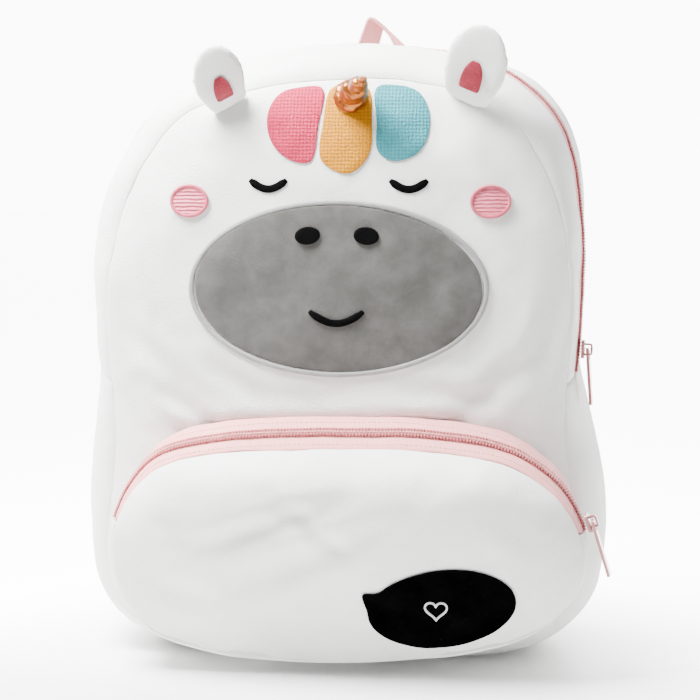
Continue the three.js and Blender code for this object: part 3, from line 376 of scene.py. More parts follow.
def fold_depth(x, z, folds):
    """How deep the cloth lies at a place, from folds that each run from one end to the other."""
    depth = 0.0
    for start_x, start_z, end_x, end_z, width, drop in folds:
        along_x, along_z = end_x - start_x, end_z - start_z
        length = math.hypot(along_x, along_z)
        share = ((x - start_x) * along_x + (z - start_z) * along_z) / length ** 2
        if 0 < share < 1:
            aside = ((x - start_x) * along_z - (z - start_z) * along_x) / length / width
            ridges = math.exp(-(aside - 1.9) ** 2) + math.exp(-(aside + 1.9) ** 2)
            depth += drop * (math.exp(-aside ** 2) - 0.5 * ridges) * math.sin(math.pi * share) ** 1.2
    return depth


def press(piece, folds):
    """Presses folds into a piece from the front."""
    for point in piece.data.vertices:
        point.co.y += fold_depth(point.co.x, point.co.z, folds)
    piece.data.update()


# start x and z, end x and z, half width and depth, in metres
FACE_FOLDS = [
    (-0.110, 0.118, 0.100, 0.128, 0.0055, 0.0030),
    (-0.108, 0.152, -0.046, 0.112, 0.0046, 0.0022),
    (-0.114, 0.178, -0.060, 0.124, 0.0055, 0.0021),
    (-0.070, 0.160, -0.020, 0.126, 0.0046, 0.0016),
    (-0.096, 0.134, -0.076, 0.116, 0.0034, 0.0014),
    (-0.040, 0.146, -0.004, 0.134, 0.0040, 0.0010),
    (0.112, 0.172, 0.056, 0.124, 0.0060, 0.0017),
    (0.118, 0.215, 0.100, 0.140, 0.0060, 0.0018),
    (-0.118, 0.225, -0.104, 0.150, 0.0060, 0.0018),
    (0.020, 0.150, 0.098, 0.134, 0.0050, 0.0015),
    (-0.112, 0.262, -0.090, 0.190, 0.0070, 0.0012),
    (0.070, 0.275, 0.104, 0.225, 0.0070, 0.0011),
]
SEAM_ANGLE = math.radians(50)
SEAM_CREASE = 0.55
EASE_BROAD = 34.0
EASE_BROAD_DEPTH = 0.0011
EASE_FINE = 95.0
EASE_FINE_DEPTH = 0.00035
EASE_ABOVE = 0.02
CREST_UP = (0.290, 0.306)
CREST_LEFT = (-0.118, -0.098)
CREST_RIGHT = (0.060, 0.092)
CREST_RISE = 0.0016
CREST_Y = -0.001
CREST_WIDTH = 0.010
ZIP_SINK = 0.0036
ZIP_Y = 0.0165
ZIP_WIDTH = 0.0085
SEAM_CLOSING = 0.0005

for panel_node in PANEL_NODES:
    panel = copy_of(panel_node, panel_node + "_plush")
    squares_from_triangles(panel)
    hold_corners(panel)
    rounded(panel, 3)
    grow(panel, SEAM_CLOSING)
    if panel_node == "front_panel":
        press(panel, FACE_FOLDS)
    ease(panel)
    finish_piece(panel, white_plush, "bag", "plush", panel_node)


# The pocket: a padded plush panel that stands out from the face, with a strip round its sides and foot.
# It is fullest just under its zip, and creases run down into it from the zip.
POCKET_FOLDS = [
    (-0.088, 0.060, 0.022, 0.098, 0.0055, 0.0024),
    (-0.060, 0.040, 0.050, 0.090, 0.0065, 0.0019),
    (-0.034, 0.102, 0.020, 0.058, 0.0046, 0.0014),
    (-0.104, 0.084, -0.056, 0.070, 0.0055, 0.0014),
    (-0.096, 0.050, -0.050, 0.034, 0.0060, 0.0012),
    (0.064, 0.100, 0.114, 0.068, 0.0065, 0.0015),
]
POCKET_LEAN = 0.30
RIM_STEPS = 90
pocket_middle, _ = middle_and_half("pocket_panel")


def rim_of(piece, middle):
    """How far a panel's edge lies from its middle, all the way round."""
    reach = [0.0] * RIM_STEPS
    for point in piece.data.vertices:
        aside, up = point.co.x - middle.x, point.co.z - middle.z
        step = int((math.atan2(up, aside) / (2 * math.pi) + 1) * RIM_STEPS) % RIM_STEPS
        reach[step] = max(reach[step], math.hypot(aside, up))
    return reach


def share_inside(point, middle, reach):
    """1 in the middle of a panel, falling to 0 at its seam."""
    aside, up = point.x - middle.x, point.z - middle.z
    turn = (math.atan2(up, aside) / (2 * math.pi) + 1) * RIM_STEPS - 0.5
    step = math.floor(turn)
    edge = reach[step % RIM_STEPS] * (1 - turn + step) + reach[(step + 1) % RIM_STEPS] * (turn - step)
    return max(0.0, 1 - (math.hypot(aside, up) / edge) ** 5)


for node in ("pocket_panel", "pocket_side"):
    panel = copy_of(node, node + "_plush")
    squares_from_triangles(panel)
    hold_corners(panel)
    rounded(panel, 3)
    grow(panel, SEAM_CLOSING)
    if node == "pocket_panel":
        reach = rim_of(panel, pocket_middle)
        for point in panel.data.vertices:
            inside = share_inside(point.co, pocket_middle, reach)
            sag = POCKET_LEAN * (point.co.z - pocket_middle.z)
            point.co.y += inside * (fold_depth(point.co.x, point.co.z, POCKET_FOLDS) - sag)
        panel.data.update()
    ease(panel)
    finish_piece(panel, white_plush, "bag", "plush", node)


# The muzzle: a big oval of grey plush laid on the face, its edge closed by a ring of silvery satin stitches.
# The pile shows lighter and darker where it has been stroked.
MUZZLE_GREY = (0.092, 0.089, 0.083, 1)
MUZZLE_DARK = (0.066, 0.064, 0.059, 1)
SATIN_SILVER = (0.40, 0.395, 0.385, 1)
SATIN_WIDTH = 0.0028
SATIN_HEIGHT = 0.0011
SATIN_STITCH = 0.0006
RING_POINTS = 720
RING_SIDES = 8
STRANDS = 1400.0
CROSS_STRANDS = 1900.0
THREAD_DEPTH = 0.0004


def skin_of(mesh):
    """A mesh's surface, in which places can be looked up."""
    return BVHTree.FromPolygons(
        [point.co.copy() for point in mesh.vertices], [list(face.vertices) for face in mesh.polygons])


def panel_under(node):
    """The dressed skin of a panel, to lay stitching and patches on."""
    return skin_of(bpy.data.objects[node + "_plush"].data)


def lay_on(skin, x, z, lift):
    """The place a little in front of a skin, seen from the front."""
    hit, normal, _, _ = skin.ray_cast(Vector((x, -1.0, z)), Vector((0, 1, 0)))
    if normal.y > 0:
        normal = -normal
    return hit + normal * lift, normal


def plain_skin(node):
    """The surface of a CAD node, before it was dressed."""
    return skin_of(nodes[node].data)


def follow(piece, plain, dressed, height=1.0):
    """Moves a patch by as much as the skin under it was moved, and scales how far it stands off the skin."""
    for point in piece.data.vertices:
        start = Vector((point.co.x, -1.0, point.co.z))
        before = plain.ray_cast(start, Vector((0, 1, 0)))[0]
        after = dressed.ray_cast(start, Vector((0, 1, 0)))[0]
        if before is not None and after is not None:
            point.co.y = after.y + (point.co.y - before.y) * height
    piece.data.update()


def object_from(name, vertices, faces):
    mesh = bpy.data.meshes.new(name)
    mesh.from_pydata([tuple(v) for v in vertices], [], faces)
    mesh.update()
    piece = bpy.data.objects.new(name, mesh)
    bpy.context.collection.objects.link(piece)
    return piece


def face_outward(piece):
    """Turns the faces of a closed shape outward and shades it smooth."""
    work_on(piece)
    bpy.ops.object.mode_set(mode="EDIT")
    bpy.ops.mesh.select_all(action="SELECT")
    bpy.ops.mesh.normals_make_consistent(inside=False)
    bpy.ops.object.mode_set(mode="OBJECT")
    bpy.ops.object.shade_smooth()
    return piece


def oval_on(skin, middle, reach_x, reach_z, lift, count):
    """Points of an oval laid on a skin, with their outward directions."""
    points, outs = [], []
    for i in range(count):
        turn = 2 * math.pi * i / count
        x = middle.x + reach_x * math.cos(turn)
        z = middle.z + reach_z * math.sin(turn)
        point, out = lay_on(skin, x, z, lift)
        points.append(point)
        outs.append(out)
    return points, outs


def tube_along(name, points, outs, closed, width, height, sides, swell=None):
    """A flattened tube along points, with its height along the outward directions."""
    count = len(points)
    vertices, faces = [], []
    for i, (point, out) in enumerate(zip(points, outs)):
        before = points[i - 1] if closed or i > 0 else points[i]
        after = points[(i + 1) % count] if closed or i < count - 1 else points[i]
        across = (after - before).cross(out).normalized()
        grown = 1.0 if swell is None else swell(i)
        for j in range(sides):
            turn = 2 * math.pi * (j + 0.5) / sides
            side_step = across * math.cos(turn) * width / 2 * grown
            vertices.append(point + side_step + out * math.sin(turn) * height / 2 * grown)
    for i in range(count if closed else count - 1):
        k = (i + 1) % count
        for j in range(sides):
            m = (j + 1) % sides
            faces.append((i * sides + j, i * sides + m, k * sides + m, k * sides + j))
    if not closed:
        faces.append(tuple(range(sides)))
        faces.append(tuple(reversed(range((count - 1) * sides, count * sides))))
    return face_outward(object_from(name, vertices, faces))


def make_thread_group():
    """Close-laid thread: fine parallel strands, with slow changes of tone along them."""
    group, entry, leave = make_group(
        "laid_thread", (("Strand Scale", 900.0), ("Row Scale", 190.0), ("Row Depth", 1.0)),
        ("Tone", "Height"), directions=("Direction",))
    place = group.nodes.new("ShaderNodeTexCoord")
    along = group.nodes.new("ShaderNodeVectorMath")
    along.operation = "DOT_PRODUCT"
    wobble = group.nodes.new("ShaderNodeTexNoise")
    wobble.inputs["Scale"].default_value = 300.0
    wobble.inputs["Detail"].default_value = 2
    nudge = group.nodes.new("ShaderNodeMath")
    nudge.operation = "MULTIPLY_ADD"
    nudge.inputs[1].default_value = 0.0012
    rows = group.nodes.new("ShaderNodeMath")
    rows.operation = "MULTIPLY"
    wave = group.nodes.new("ShaderNodeMath")
    wave.operation = "SINE"
    depth = group.nodes.new("ShaderNodeMath")
    depth.operation = "MULTIPLY"
    strands = group.nodes.new("ShaderNodeTexNoise")
    strands.inputs["Detail"].default_value = 3
    strands.inputs["Roughness"].default_value = 0.65
    height = group.nodes.new("ShaderNodeMath")
    height.operation = "ADD"
    link = group.links.new
    link(place.outputs["Object"], along.inputs[0])
    link(entry.outputs["Direction"], along.inputs[1])
    link(place.outputs["Object"], wobble.inputs["Vector"])
    link(wobble.outputs["Fac"], nudge.inputs[0])
    link(along.outputs["Value"], nudge.inputs[2])
    link(nudge.outputs["Value"], rows.inputs[0])
    link(entry.outputs["Row Scale"], rows.inputs[1])
    link(rows.outputs["Value"], wave.inputs[0])
    link(wave.outputs["Value"], depth.inputs[0])
    link(entry.outputs["Row Depth"], depth.inputs[1])
    link(place.outputs["Object"], strands.inputs["Vector"])
    link(entry.outputs["Strand Scale"], strands.inputs["Scale"])
    link(depth.outputs["Value"], height.inputs[0])
    link(strands.outputs["Fac"], height.inputs[1])
    link(strands.outputs["Fac"], leave.inputs["Tone"])
    link(height.outputs["Value"], leave.inputs["Height"])
    return group


THREAD = make_thread_group()


def laid_thread(tree, strand_scale, row_spacing, depth, direction):
    """The height of thread laid in rows, as a node's output."""
    thread = tree.nodes.new("ShaderNodeGroup")
    thread.node_tree = THREAD
    thread.inputs["Strand Scale"].default_value = strand_scale
    thread.inputs["Row Scale"].default_value = 2 * math.pi / row_spacing
    thread.inputs["Row Depth"].default_value = depth
    thread.inputs["Direction"].default_value = direction
    return thread.outputs["Height"]


def make_thread(
        name, light, dark, direction=(1, 0, 0), row_spacing=0.0026, relief=0.5, depth=1.0, sheen=0.25,
        shine=0.25, cross=None):
    """Laid thread, with a second layer across it where a direction for one is given."""
    material, tree, shader = new_material(name, light, 0.6)
    tone = tree.nodes.new("ShaderNodeMapRange")
    tone.inputs["From Min"].default_value = -0.6
    tone.inputs["From Max"].default_value = 1.5
    height = laid_thread(tree, STRANDS, row_spacing, depth, direction)
    if cross is not None:
        both = tree.nodes.new("ShaderNodeMath")
        both.operation = "ADD"
        tree.links.new(height, both.inputs[0])
        tree.links.new(laid_thread(tree, CROSS_STRANDS, row_spacing, depth, cross), both.inputs[1])
        height = both.outputs["Value"]
    tree.links.new(height, tone.inputs["Value"])
    tint(tree, shader, tone.outputs["Result"], dark, light)
    emboss(tree, shader, height, relief, THREAD_DEPTH)
    shader.inputs["Sheen Weight"].default_value = sheen
    shader.inputs["Specular IOR Level"].default_value = shine
    return material


face_plain = plain_skin("front_panel")
face_skin = panel_under("front_panel")
grey_plush = make_plush(
    "grey_plush", MUZZLE_GREY, MUZZLE_DARK, tuft_scale=1100.0, swirl_scale=80.0, swirl_depth=0.7, relief=0.5,
    sheen=0.5)
muzzle_middle, muzzle_half = middle_and_half("muzzle_border")
muzzle = softened("muzzle_patch", "muzzle_plush", 3)
_, patch_half = middle_and_half("muzzle_patch")
widen = (muzzle_half.x - SATIN_WIDTH * 0.7) / patch_half.x
heighten = (muzzle_half.z - SATIN_WIDTH * 0.7) / patch_half.z
for point in muzzle.data.vertices:
    point.co.x = muzzle_middle.x + (point.co.x - muzzle_middle.x) * widen
    point.co.z = muzzle_middle.z + (point.co.z - muzzle_middle.z) * heighten
follow(muzzle, face_plain, face_skin)
finish_piece(muzzle, grey_plush, "bag", "muzzle_plush", "muzzle_patch")

ring_points, ring_outs = oval_on(
    face_skin, muzzle_middle, muzzle_half.x - SATIN_WIDTH / 2, muzzle_half.z - SATIN_WIDTH / 2,
    SATIN_HEIGHT * 0.75, RING_POINTS)
satin_silver = make_thread(
    "silver_satin", SATIN_SILVER, (0.2, 0.198, 0.19, 1), direction=(0.6, 0, 0.8), row_spacing=SATIN_STITCH,
    relief=0.6, depth=0.5, sheen=0.4)
ring = tube_along(
    "muzzle_satin", ring_points, ring_outs, True, SATIN_WIDTH, SATIN_HEIGHT * 1.6, RING_SIDES,
    lambda i: 1.0 + 0.07 * math.sin(i * 2.1))
finish_piece(ring, satin_silver, "bag", "border_thread", "muzzle_border")


# The closed eyes, the nostrils and the smile: black machine embroidery, in satin stitches laid across
# each line, raised a little above the pile.
THREAD_BLACK = (0.0007, 0.0007, 0.0008, 1)
EYE_STROKE = 0.0042
SMILE_STROKE = 0.0038
STROKE_HEIGHT = 0.0018
STROKE_POINTS = 48
STROKE_SIDES = 10


def hanging_arc(node, skin, lift, inset):
    """Points of a line that hangs in the box of a CAD node, from its upper left to its upper right."""
    low, high = (Vector(c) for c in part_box(node))
    points, outs = [], []
    for i in range(STROKE_POINTS + 1):
        share = i / STROKE_POINTS
        x = low.x + inset + (high.x - low.x - 2 * inset) * share
        z = high.z - inset - (high.z - low.z - 2 * inset) * math.sin(math.pi * share) ** 0.9
        point, out = lay_on(skin, x, z, lift)
        points.append(point)
        outs.append(out)
    return points, outs


black_thread = make_thread(
    "black_thread", THREAD_BLACK, (0.0003, 0.0003, 0.0003, 1), direction=(0.5, 0, 0.87), row_spacing=0.0007,
    relief=0.6, depth=0.5, sheen=0.0, shine=0.03)
muzzle_plain = plain_skin("muzzle_patch")
muzzle_skin = skin_of(muzzle.data)
strokes = [
    ("eye_left", face_skin, EYE_STROKE),
    ("eye_right", face_skin, EYE_STROKE),
    ("mouth", muzzle_skin, SMILE_STROKE),
]
for stroke_node, stroke_skin, stroke_width in strokes:
    points, outs = hanging_arc(stroke_node, stroke_skin, STROKE_HEIGHT * 0.2, stroke_width * 0.45)
    last = len(points) - 1
    stroke = tube_along(
        stroke_node + "_stitching", points, outs, False, stroke_width, STROKE_HEIGHT, STROKE_SIDES,
        lambda i: (
            (0.55 + 0.45 * min(1.0, 9 * i / last, 9 * (last - i) / last)) * (1 + 0.04 * math.sin(i * 2.3))))
    finish_piece(stroke, black_thread, "bag", "black_thread", stroke_node)
for nostril_node in ("nostril_left", "nostril_right"):
    nostril = softened(nostril_node, nostril_node + "_stitching", 2)
    follow(nostril, muzzle_plain, muzzle_skin)
    finish_piece(nostril, black_thread, "bag", "black_thread", nostril_node)


# The cheeks: round pink patches filled with level rows of stitches, with a denser satin rim.
CHEEK_PINK = (0.80, 0.20, 0.27, 1)
CHEEK_DARK = (0.60, 0.085, 0.14, 1)
CHEEK_RIM_WIDTH = 0.0019
CHEEK_RIM_HEIGHT = 0.0014
CHEEK_RIM_LIFT = 0.0012
CHEEK_RIM_POINTS = 120
CHEEK_ROW = 0.0019

cheek_thread = make_thread(
    "cheek_thread", CHEEK_PINK, CHEEK_DARK, direction=(0, 0, 1), row_spacing=CHEEK_ROW, relief=0.9)
cheek_rim_thread = make_thread(
    "cheek_rim_thread", (0.66, 0.11, 0.17, 1), (0.45, 0.05, 0.09, 1), direction=(0.5, 0, 0.87),
    row_spacing=0.0006, relief=0.6, depth=0.5)
for side in ("left", "right"):
    node = "cheek_" + side
    cheek = softened(node, node + "_stitching", 3)
    follow(cheek, face_plain, face_skin, 0.7)
    finish_piece(cheek, cheek_thread, "bag", "cheek_thread", node)
    middle, half = middle_and_half(node)
    points, outs = oval_on(
        face_skin, middle, half.x - CHEEK_RIM_WIDTH / 2, half.z - CHEEK_RIM_WIDTH / 2, CHEEK_RIM_LIFT,
        CHEEK_RIM_POINTS)
    rim = tube_along(
        node + "_rim", points, outs, True, CHEEK_RIM_WIDTH, CHEEK_RIM_HEIGHT, RING_SIDES,
        lambda i: 1 + 0.06 * math.sin(i * 2.1))
    finish_piece(rim, cheek_rim_thread, "bag", "cheek_thread")


# The mane: three locks of filled embroidery side by side under the horn, each in upright columns of
# stitches, with a tight edge where the lock ends.
MANE_ROW = 0.0018
MANE_LOCKS = [
    ("mane_pink", (0.47, 0.026, 0.075, 1), (0.27, 0.006, 0.022, 1)),
    ("mane_yellow", (0.50, 0.205, 0.001, 1), (0.29, 0.095, 0.001, 1)),
    ("mane_turquoise", (0.045, 0.245, 0.28, 1), (0.010, 0.12, 0.145, 1)),
]

for node, light, dark in MANE_LOCKS:
    thread = make_thread(
        node + "_thread", light, dark, row_spacing=MANE_ROW, relief=0.5, depth=0.4, sheen=0.0, shine=0.1,
        cross=(0, 0, 1))
    lock = softened(node, node + "_stitching", 3)
    follow(lock, face_plain, face_skin, 0.6)
    finish_piece(lock, thread, "bag", node + "_thread", node)


# The speech-bubble patch on the pocket: black short pile, turned in and stitched round its edge, with one
# small white stitched heart.
FELT_BLACK = (0.0004, 0.0004, 0.0004, 1)
FELT_LIGHT = (0.0016, 0.0016, 0.0016, 1)
HEART_WIDTH = 0.011
HEART_STROKE = 0.0011
HEART_LEFT_OF_MIDDLE = -0.0005
HEART_POINTS = 64

pocket_plain = plain_skin("pocket_panel")
pocket_skin = panel_under("pocket_panel")
black_felt = make_plush(
    "black_pile", FELT_BLACK, FELT_LIGHT, tuft_scale=1300.0, swirl_scale=60.0, swirl_depth=0.4, relief=0.5,
    sheen=0.0, shine=0.0)
bubble = softened("bubble_patch", "bubble_pile", 2)
follow(bubble, pocket_plain, pocket_skin)
finish_piece(bubble, black_felt, "bag", "black_felt", "bubble_patch")

bubble_skin = skin_of(bubble.data)
bubble_middle, _ = middle_and_half("bubble_patch")
white_thread = make_thread(
    "white_thread", (0.85, 0.85, 0.84, 1), (0.5, 0.5, 0.5, 1), direction=(0.6, 0, 0.8), row_spacing=0.0006,
    relief=0.5, depth=0.5)
heart_points, heart_outs = [], []
for i in range(HEART_POINTS):
    turn = 2 * math.pi * i / HEART_POINTS
    heart_x = math.sin(turn) ** 3
    heart_z = 13 * math.cos(turn) - 5 * math.cos(2 * turn) - 2 * math.cos(3 * turn) - math.cos(4 * turn)
    point, out = lay_on(
        bubble_skin, bubble_middle.x + HEART_LEFT_OF_MIDDLE + heart_x * HEART_WIDTH / 2,
        bubble_middle.z + heart_z / 16 * HEART_WIDTH / 2, HEART_STROKE * 0.3)
    heart_points.append(point)
    heart_outs.append(out)
heart = tube_along("bubble_heart", heart_points, heart_outs, True, HEART_STROKE, HEART_STROKE, 6)
finish_piece(heart, white_thread, "bag", "black_felt")


# The zips: woven polyester tape with a nylon coil sewn along its middle. The coil's loops stand in two
# rows of small rounded bumps, with their locked heads in a paler line between them, a painted highlight
# along the coil's crest, over a dark strip laid under the coil as painted shade between the loops.
TAPE_PINK = (0.88, 0.40, 0.38, 1)
TAPE_SHADE = (0.80, 0.31, 0.30, 1)
COIL_ROSE = (0.52, 0.150, 0.155, 1)
# Painted highlight: the heads are a paler copy of the coil's pink.
COIL_HIGHLIGHT = (0.80, 0.40, 0.385, 1)
# Painted shade: the colour of a dark strip under the coil, seen between its loops.
COIL_SHADE = (0.33, 0.075, 0.080, 1)
COIL_PITCH = 0.00165
WEAVE_DEPTH = 0.0003
LOOP_HALF = (0.0013, 0.00060, 0.0010)
HEAD_HALF = (0.00085, 0.00036, 0.00060)
LOOP_ASIDE = 0.0018
# Size and depth of the painted shade strip under the coil.
SHADE_STRIP_WIDTH = 0.0060
SHADE_STRIP_HEIGHT = 0.0006
SHADE_STRIP_SINK = 0.0003
SEW_ASIDE = 0.0078
SEW_PITCH = 0.0024
SEW_REACH = 0.004
SEW_HALF = (0.00022, 0.00075, 0.00022)
LINE_STEPS = 24
COIL_LIFT = 0.0007
SMOOTHING_PASSES = 12


def make_weave_group():
    """Narrow woven tape: a fine twill that crosses in two directions, with a little fuzz."""
    group, entry, leave = make_group("narrow_weave", (("Scale", 6000.0),), ("Height", "Tone"))
    place = group.nodes.new("ShaderNodeTexCoord")
    heights = []
    for direction in ((0.7, 0.5, 0.7), (-0.7, 0.5, 0.7)):
        along = group.nodes.new("ShaderNodeVectorMath")
        along.operation = "DOT_PRODUCT"
        along.inputs[1].default_value = direction
        scaled = group.nodes.new("ShaderNodeMath")
        scaled.operation = "MULTIPLY"
        wave = group.nodes.new("ShaderNodeMath")
        wave.operation = "SINE"
        group.links.new(place.outputs["Object"], along.inputs[0])
        group.links.new(along.outputs["Value"], scaled.inputs[0])
        group.links.new(entry.outputs["Scale"], scaled.inputs[1])
        group.links.new(scaled.outputs["Value"], wave.inputs[0])
        heights.append(wave)
    crossed = group.nodes.new("ShaderNodeMath")
    crossed.operation = "MULTIPLY"
    fuzz = group.nodes.new("ShaderNodeTexNoise")
    fuzz.inputs["Scale"].default_value = 420.0
    fuzz.inputs["Detail"].default_value = 4
    height = group.nodes.new("ShaderNodeMath")
    height.operation = "MULTIPLY_ADD"
    height.inputs[1].default_value = 0.5
    group.links.new(heights[0].outputs["Value"], crossed.inputs[0])
    group.links.new(heights[1].outputs["Value"], crossed.inputs[1])
    group.links.new(place.outputs["Object"], fuzz.inputs["Vector"])
    group.links.new(crossed.outputs["Value"], height.inputs[0])
    group.links.new(fuzz.outputs["Fac"], height.inputs[2])
    group.links.new(height.outputs["Value"], leave.inputs["Height"])
    group.links.new(fuzz.outputs["Fac"], leave.inputs["Tone"])
    return group


WEAVE = make_weave_group()


def make_woven(name, light, dark, thread_scale=6000.0, relief=0.35, roughness=0.7):
    material, tree, shader = new_material(name, light, roughness)
    weave = tree.nodes.new("ShaderNodeGroup")
    weave.node_tree = WEAVE
    weave.inputs["Scale"].default_value = thread_scale
    tint(tree, shader, weave.outputs["Tone"], dark, light)
    emboss(tree, shader, weave.outputs["Height"], relief, WEAVE_DEPTH)
    shader.inputs["Sheen Weight"].default_value = 0.2
    shader.inputs["Specular IOR Level"].default_value = 0.2
    return material


def make_nylon(name, light, dark, roughness):
    """Smooth moulded nylon or paint, with a slight mottle in its tone and gloss."""
    material, tree, shader = new_material(name, light, roughness)
    place = tree.nodes.new("ShaderNodeTexCoord")
    mottle = tree.nodes.new("ShaderNodeTexNoise")
    mottle.inputs["Scale"].default_value = 260.0
    mottle.inputs["Detail"].default_value = 3
    gloss = tree.nodes.new("ShaderNodeMapRange")
    gloss.inputs["To Min"].default_value = roughness - 0.06
    gloss.inputs["To Max"].default_value = roughness + 0.08
    tree.links.new(place.outputs["Object"], mottle.inputs["Vector"])
    tint(tree, shader, mottle.outputs["Fac"], dark, light)
    tree.links.new(mottle.outputs["Fac"], gloss.inputs["Value"])
    tree.links.new(gloss.outputs["Result"], shader.inputs["Roughness"])
    shader.inputs["Specular IOR Level"].default_value = 0.4
    return material


def chain_line(node, middle_x, middle_z):
    """The middle and the outward direction of each section of a zip's chain, from its left end on."""
    work = bmesh.new()
    work.from_mesh(nodes[node].data)
    bmesh.ops.remove_doubles(work, verts=work.verts, dist=2e-5)
    corners = sorted(
        (corner.co.copy() for corner in work.verts),
        key=lambda co: math.atan2(co.x - middle_x, co.z - middle_z))
    work.free()
    core = Vector((middle_x, 0.0, middle_z))
    line = []
    for first in range(0, len(corners) - 3, 4):
        four = corners[first:first + 4]
        middle = sum(four, Vector()) / 4
        partner = min(four[1:], key=lambda co: (co - four[0]).length)
        out = (four[0] - partner).normalized()
        if out.dot(middle - core) < 0:
            out = -out
        line.append((middle, out))
    return line


def even_line(line, spacing):
    """Evenly spaced places, with outward directions, on a smooth line through the given ones."""
    points = [place for place, _ in line]
    fine = []
    for i in range(len(line) - 1):
        before, start = points[max(i - 1, 0)], points[i]
        end, after = points[i + 1], points[min(i + 2, len(line) - 1)]
        for k in range(LINE_STEPS):
            t = k / LINE_STEPS
            place = 0.5 * (
                2 * start + (end - before) * t + (2 * before - 5 * start + 4 * end - after) * t ** 2
                + (3 * start - before - 3 * end + after) * t ** 3)
            fine.append((place, line[i][1].lerp(line[i + 1][1], t).normalized()))
    fine.append(line[-1])
    spaced = []
    travelled, wanted = 0.0, 0.0
    for (start, start_out), (end, end_out) in zip(fine, fine[1:]):
        step = (end - start).length
        while wanted <= travelled + step:
            share = (wanted - travelled) / step
            spaced.append((start.lerp(end, share), start_out.lerp(end_out, share).normalized()))
            wanted += spacing
        travelled += step
    return spaced


def smoothed(line):
    """The same line with its small unevenness taken out."""
    for _ in range(SMOOTHING_PASSES):
        inner = [
            (
                line[i][0] * 0.5 + (line[i - 1][0] + line[i + 1][0]) * 0.25,
                (line[i][1] * 2 + line[i - 1][1] + line[i + 1][1]).normalized(),
            )
            for i in range(1, len(line) - 1)
        ]
        line = [line[0]] + inner + [line[-1]]
    return line


def make_bump(segments, rings):
    """The corners and faces of one round bump, of radius 1."""
    bpy.ops.object.select_all(action="DESELECT")
    bpy.ops.mesh.primitive_uv_sphere_add(segments=segments, ring_count=rings, radius=1.0, location=(0, 0, 0))
    bump = bpy.context.object
    corners = [point.co.copy() for point in bump.data.vertices]
    faces = [tuple(face.vertices) for face in bump.data.polygons]
    bpy.data.objects.remove(bump)
    return corners, faces


BUMP_CORNERS, BUMP_FACES = make_bump(8, 5)


def row_of_bumps(name, places, half):
    """One mesh of many small bumps, each set by its place and its directions across, along and out."""
    vertices, faces = [], []
    for place, across, along, out in places:
        first = len(vertices)
        for corner in BUMP_CORNERS:
            vertices.append(
                place + across * corner.x * half[0] + along * corner.y * half[1] + out * corner.z * half[2])
        faces.extend(tuple(first + k for k in face) for face in BUMP_FACES)
    return face_outward(object_from(name, vertices, faces))


def frames_along(line):
    framed = []
    last = len(line) - 1
    for i, (place, out) in enumerate(line):
        along = (line[min(i + 1, last)][0] - line[max(i - 1, 0)][0]).normalized()
        across = along.cross(out).normalized()
        framed.append((place, across, along, across.cross(along).normalized()))
    return framed


tape_cloth = make_woven("tape_pink", TAPE_PINK, TAPE_SHADE)
coil_rose = make_nylon("coil_rose", COIL_ROSE, (0.42, 0.105, 0.11, 1), 0.38)
coil_highlight = make_nylon("coil_highlight", COIL_HIGHLIGHT, (0.70, 0.30, 0.29, 1), 0.4)
# Painted shade: the dark strip under the coil.
coil_shade = make_nylon("coil_shade", COIL_SHADE, (0.26, 0.055, 0.06, 1), 0.6)
tape_thread = make_thread(
    "tape_thread", (0.90, 0.52, 0.51, 1), (0.7, 0.3, 0.3, 1), row_spacing=0.0006, relief=0.3, depth=0.4)

for zip_name in ("main_zip", "pocket_zip"):
    tape = softened(zip_name + "_tape", zip_name + "_tape_cloth", 3)
    grow(tape, SEAM_CLOSING)
    ease(tape)
    finish_piece(tape, tape_cloth, "bag", "zip_tape", zip_name + "_tape")
    low, high = (Vector(c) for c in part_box(zip_name + "_chain"))
    middle_x = (low.x + high.x) / 2
    middle_z = low.z * 0.8 + high.z * 0.2
    tape_skin = skin_of(tape.data)
    line = []
    for place, out in even_line(chain_line(zip_name + "_chain", middle_x, middle_z), COIL_PITCH / 2):
        hit, normal, _, _ = tape_skin.find_nearest(place)
        facing = out.lerp(normal, 0.5).normalized() if normal.dot(out) > 0 else out
        line.append((hit + out * COIL_LIFT, facing))
    line = frames_along(smoothed(line))
    # Painted shade: a dark strip sunk under the coil, seen between its loops.
    shade_strip = tube_along(
        zip_name + "_bed", [place - out * SHADE_STRIP_SINK for place, _, _, out in line],
        [out for _, _, _, out in line], False, SHADE_STRIP_WIDTH, SHADE_STRIP_HEIGHT, RING_SIDES)
    finish_piece(shade_strip, coil_shade, "bag", "zip_teeth", zip_name + "_chain")
    loops = []
    for i, (place, across, along, out) in enumerate(line):
        side = 1 if i % 2 else -1
        loops.append((place + across * LOOP_ASIDE * side - out * 0.0001, across, along, out))
    coil = row_of_bumps(zip_name + "_coil", loops, LOOP_HALF)
    finish_piece(coil, coil_rose, "bag", "zip_teeth")
    # The heads carry the coil's painted highlight.
    heads = [(place + out * 0.0002, across, along, out) for place, across, along, out in line]
    locked = row_of_bumps(zip_name + "_heads", heads, HEAD_HALF)
    finish_piece(locked, coil_highlight, "bag", "zip_teeth")
    sewing = []
    stride = round(SEW_PITCH / (COIL_PITCH / 2))
    for side in (-1, 1):
        for place, across, along, out in line[::stride]:
            hit, normal, _, distance = tape_skin.find_nearest(place + across * SEW_ASIDE * side)
            if distance < SEW_REACH and normal.dot(out) > 0.2:
                sewing.append((hit + normal * 0.0001, along.cross(normal).normalized(), along, normal))
    if sewing:
        sewn = row_of_bumps(zip_name + "_sewing", sewing, SEW_HALF)
        finish_piece(sewn, tape_thread, "bag", "zip_tape")


# The sliders and their pulls: die-cast metal painted pink. Each pull is a slim tab with a long eye that
# hangs on the slider's bridge.
PAINT_PINK = (0.50, 0.18, 0.175, 1)
PAINT_SHADE = (0.40, 0.125, 0.125, 1)
EDGE_ROUND = 0.00030

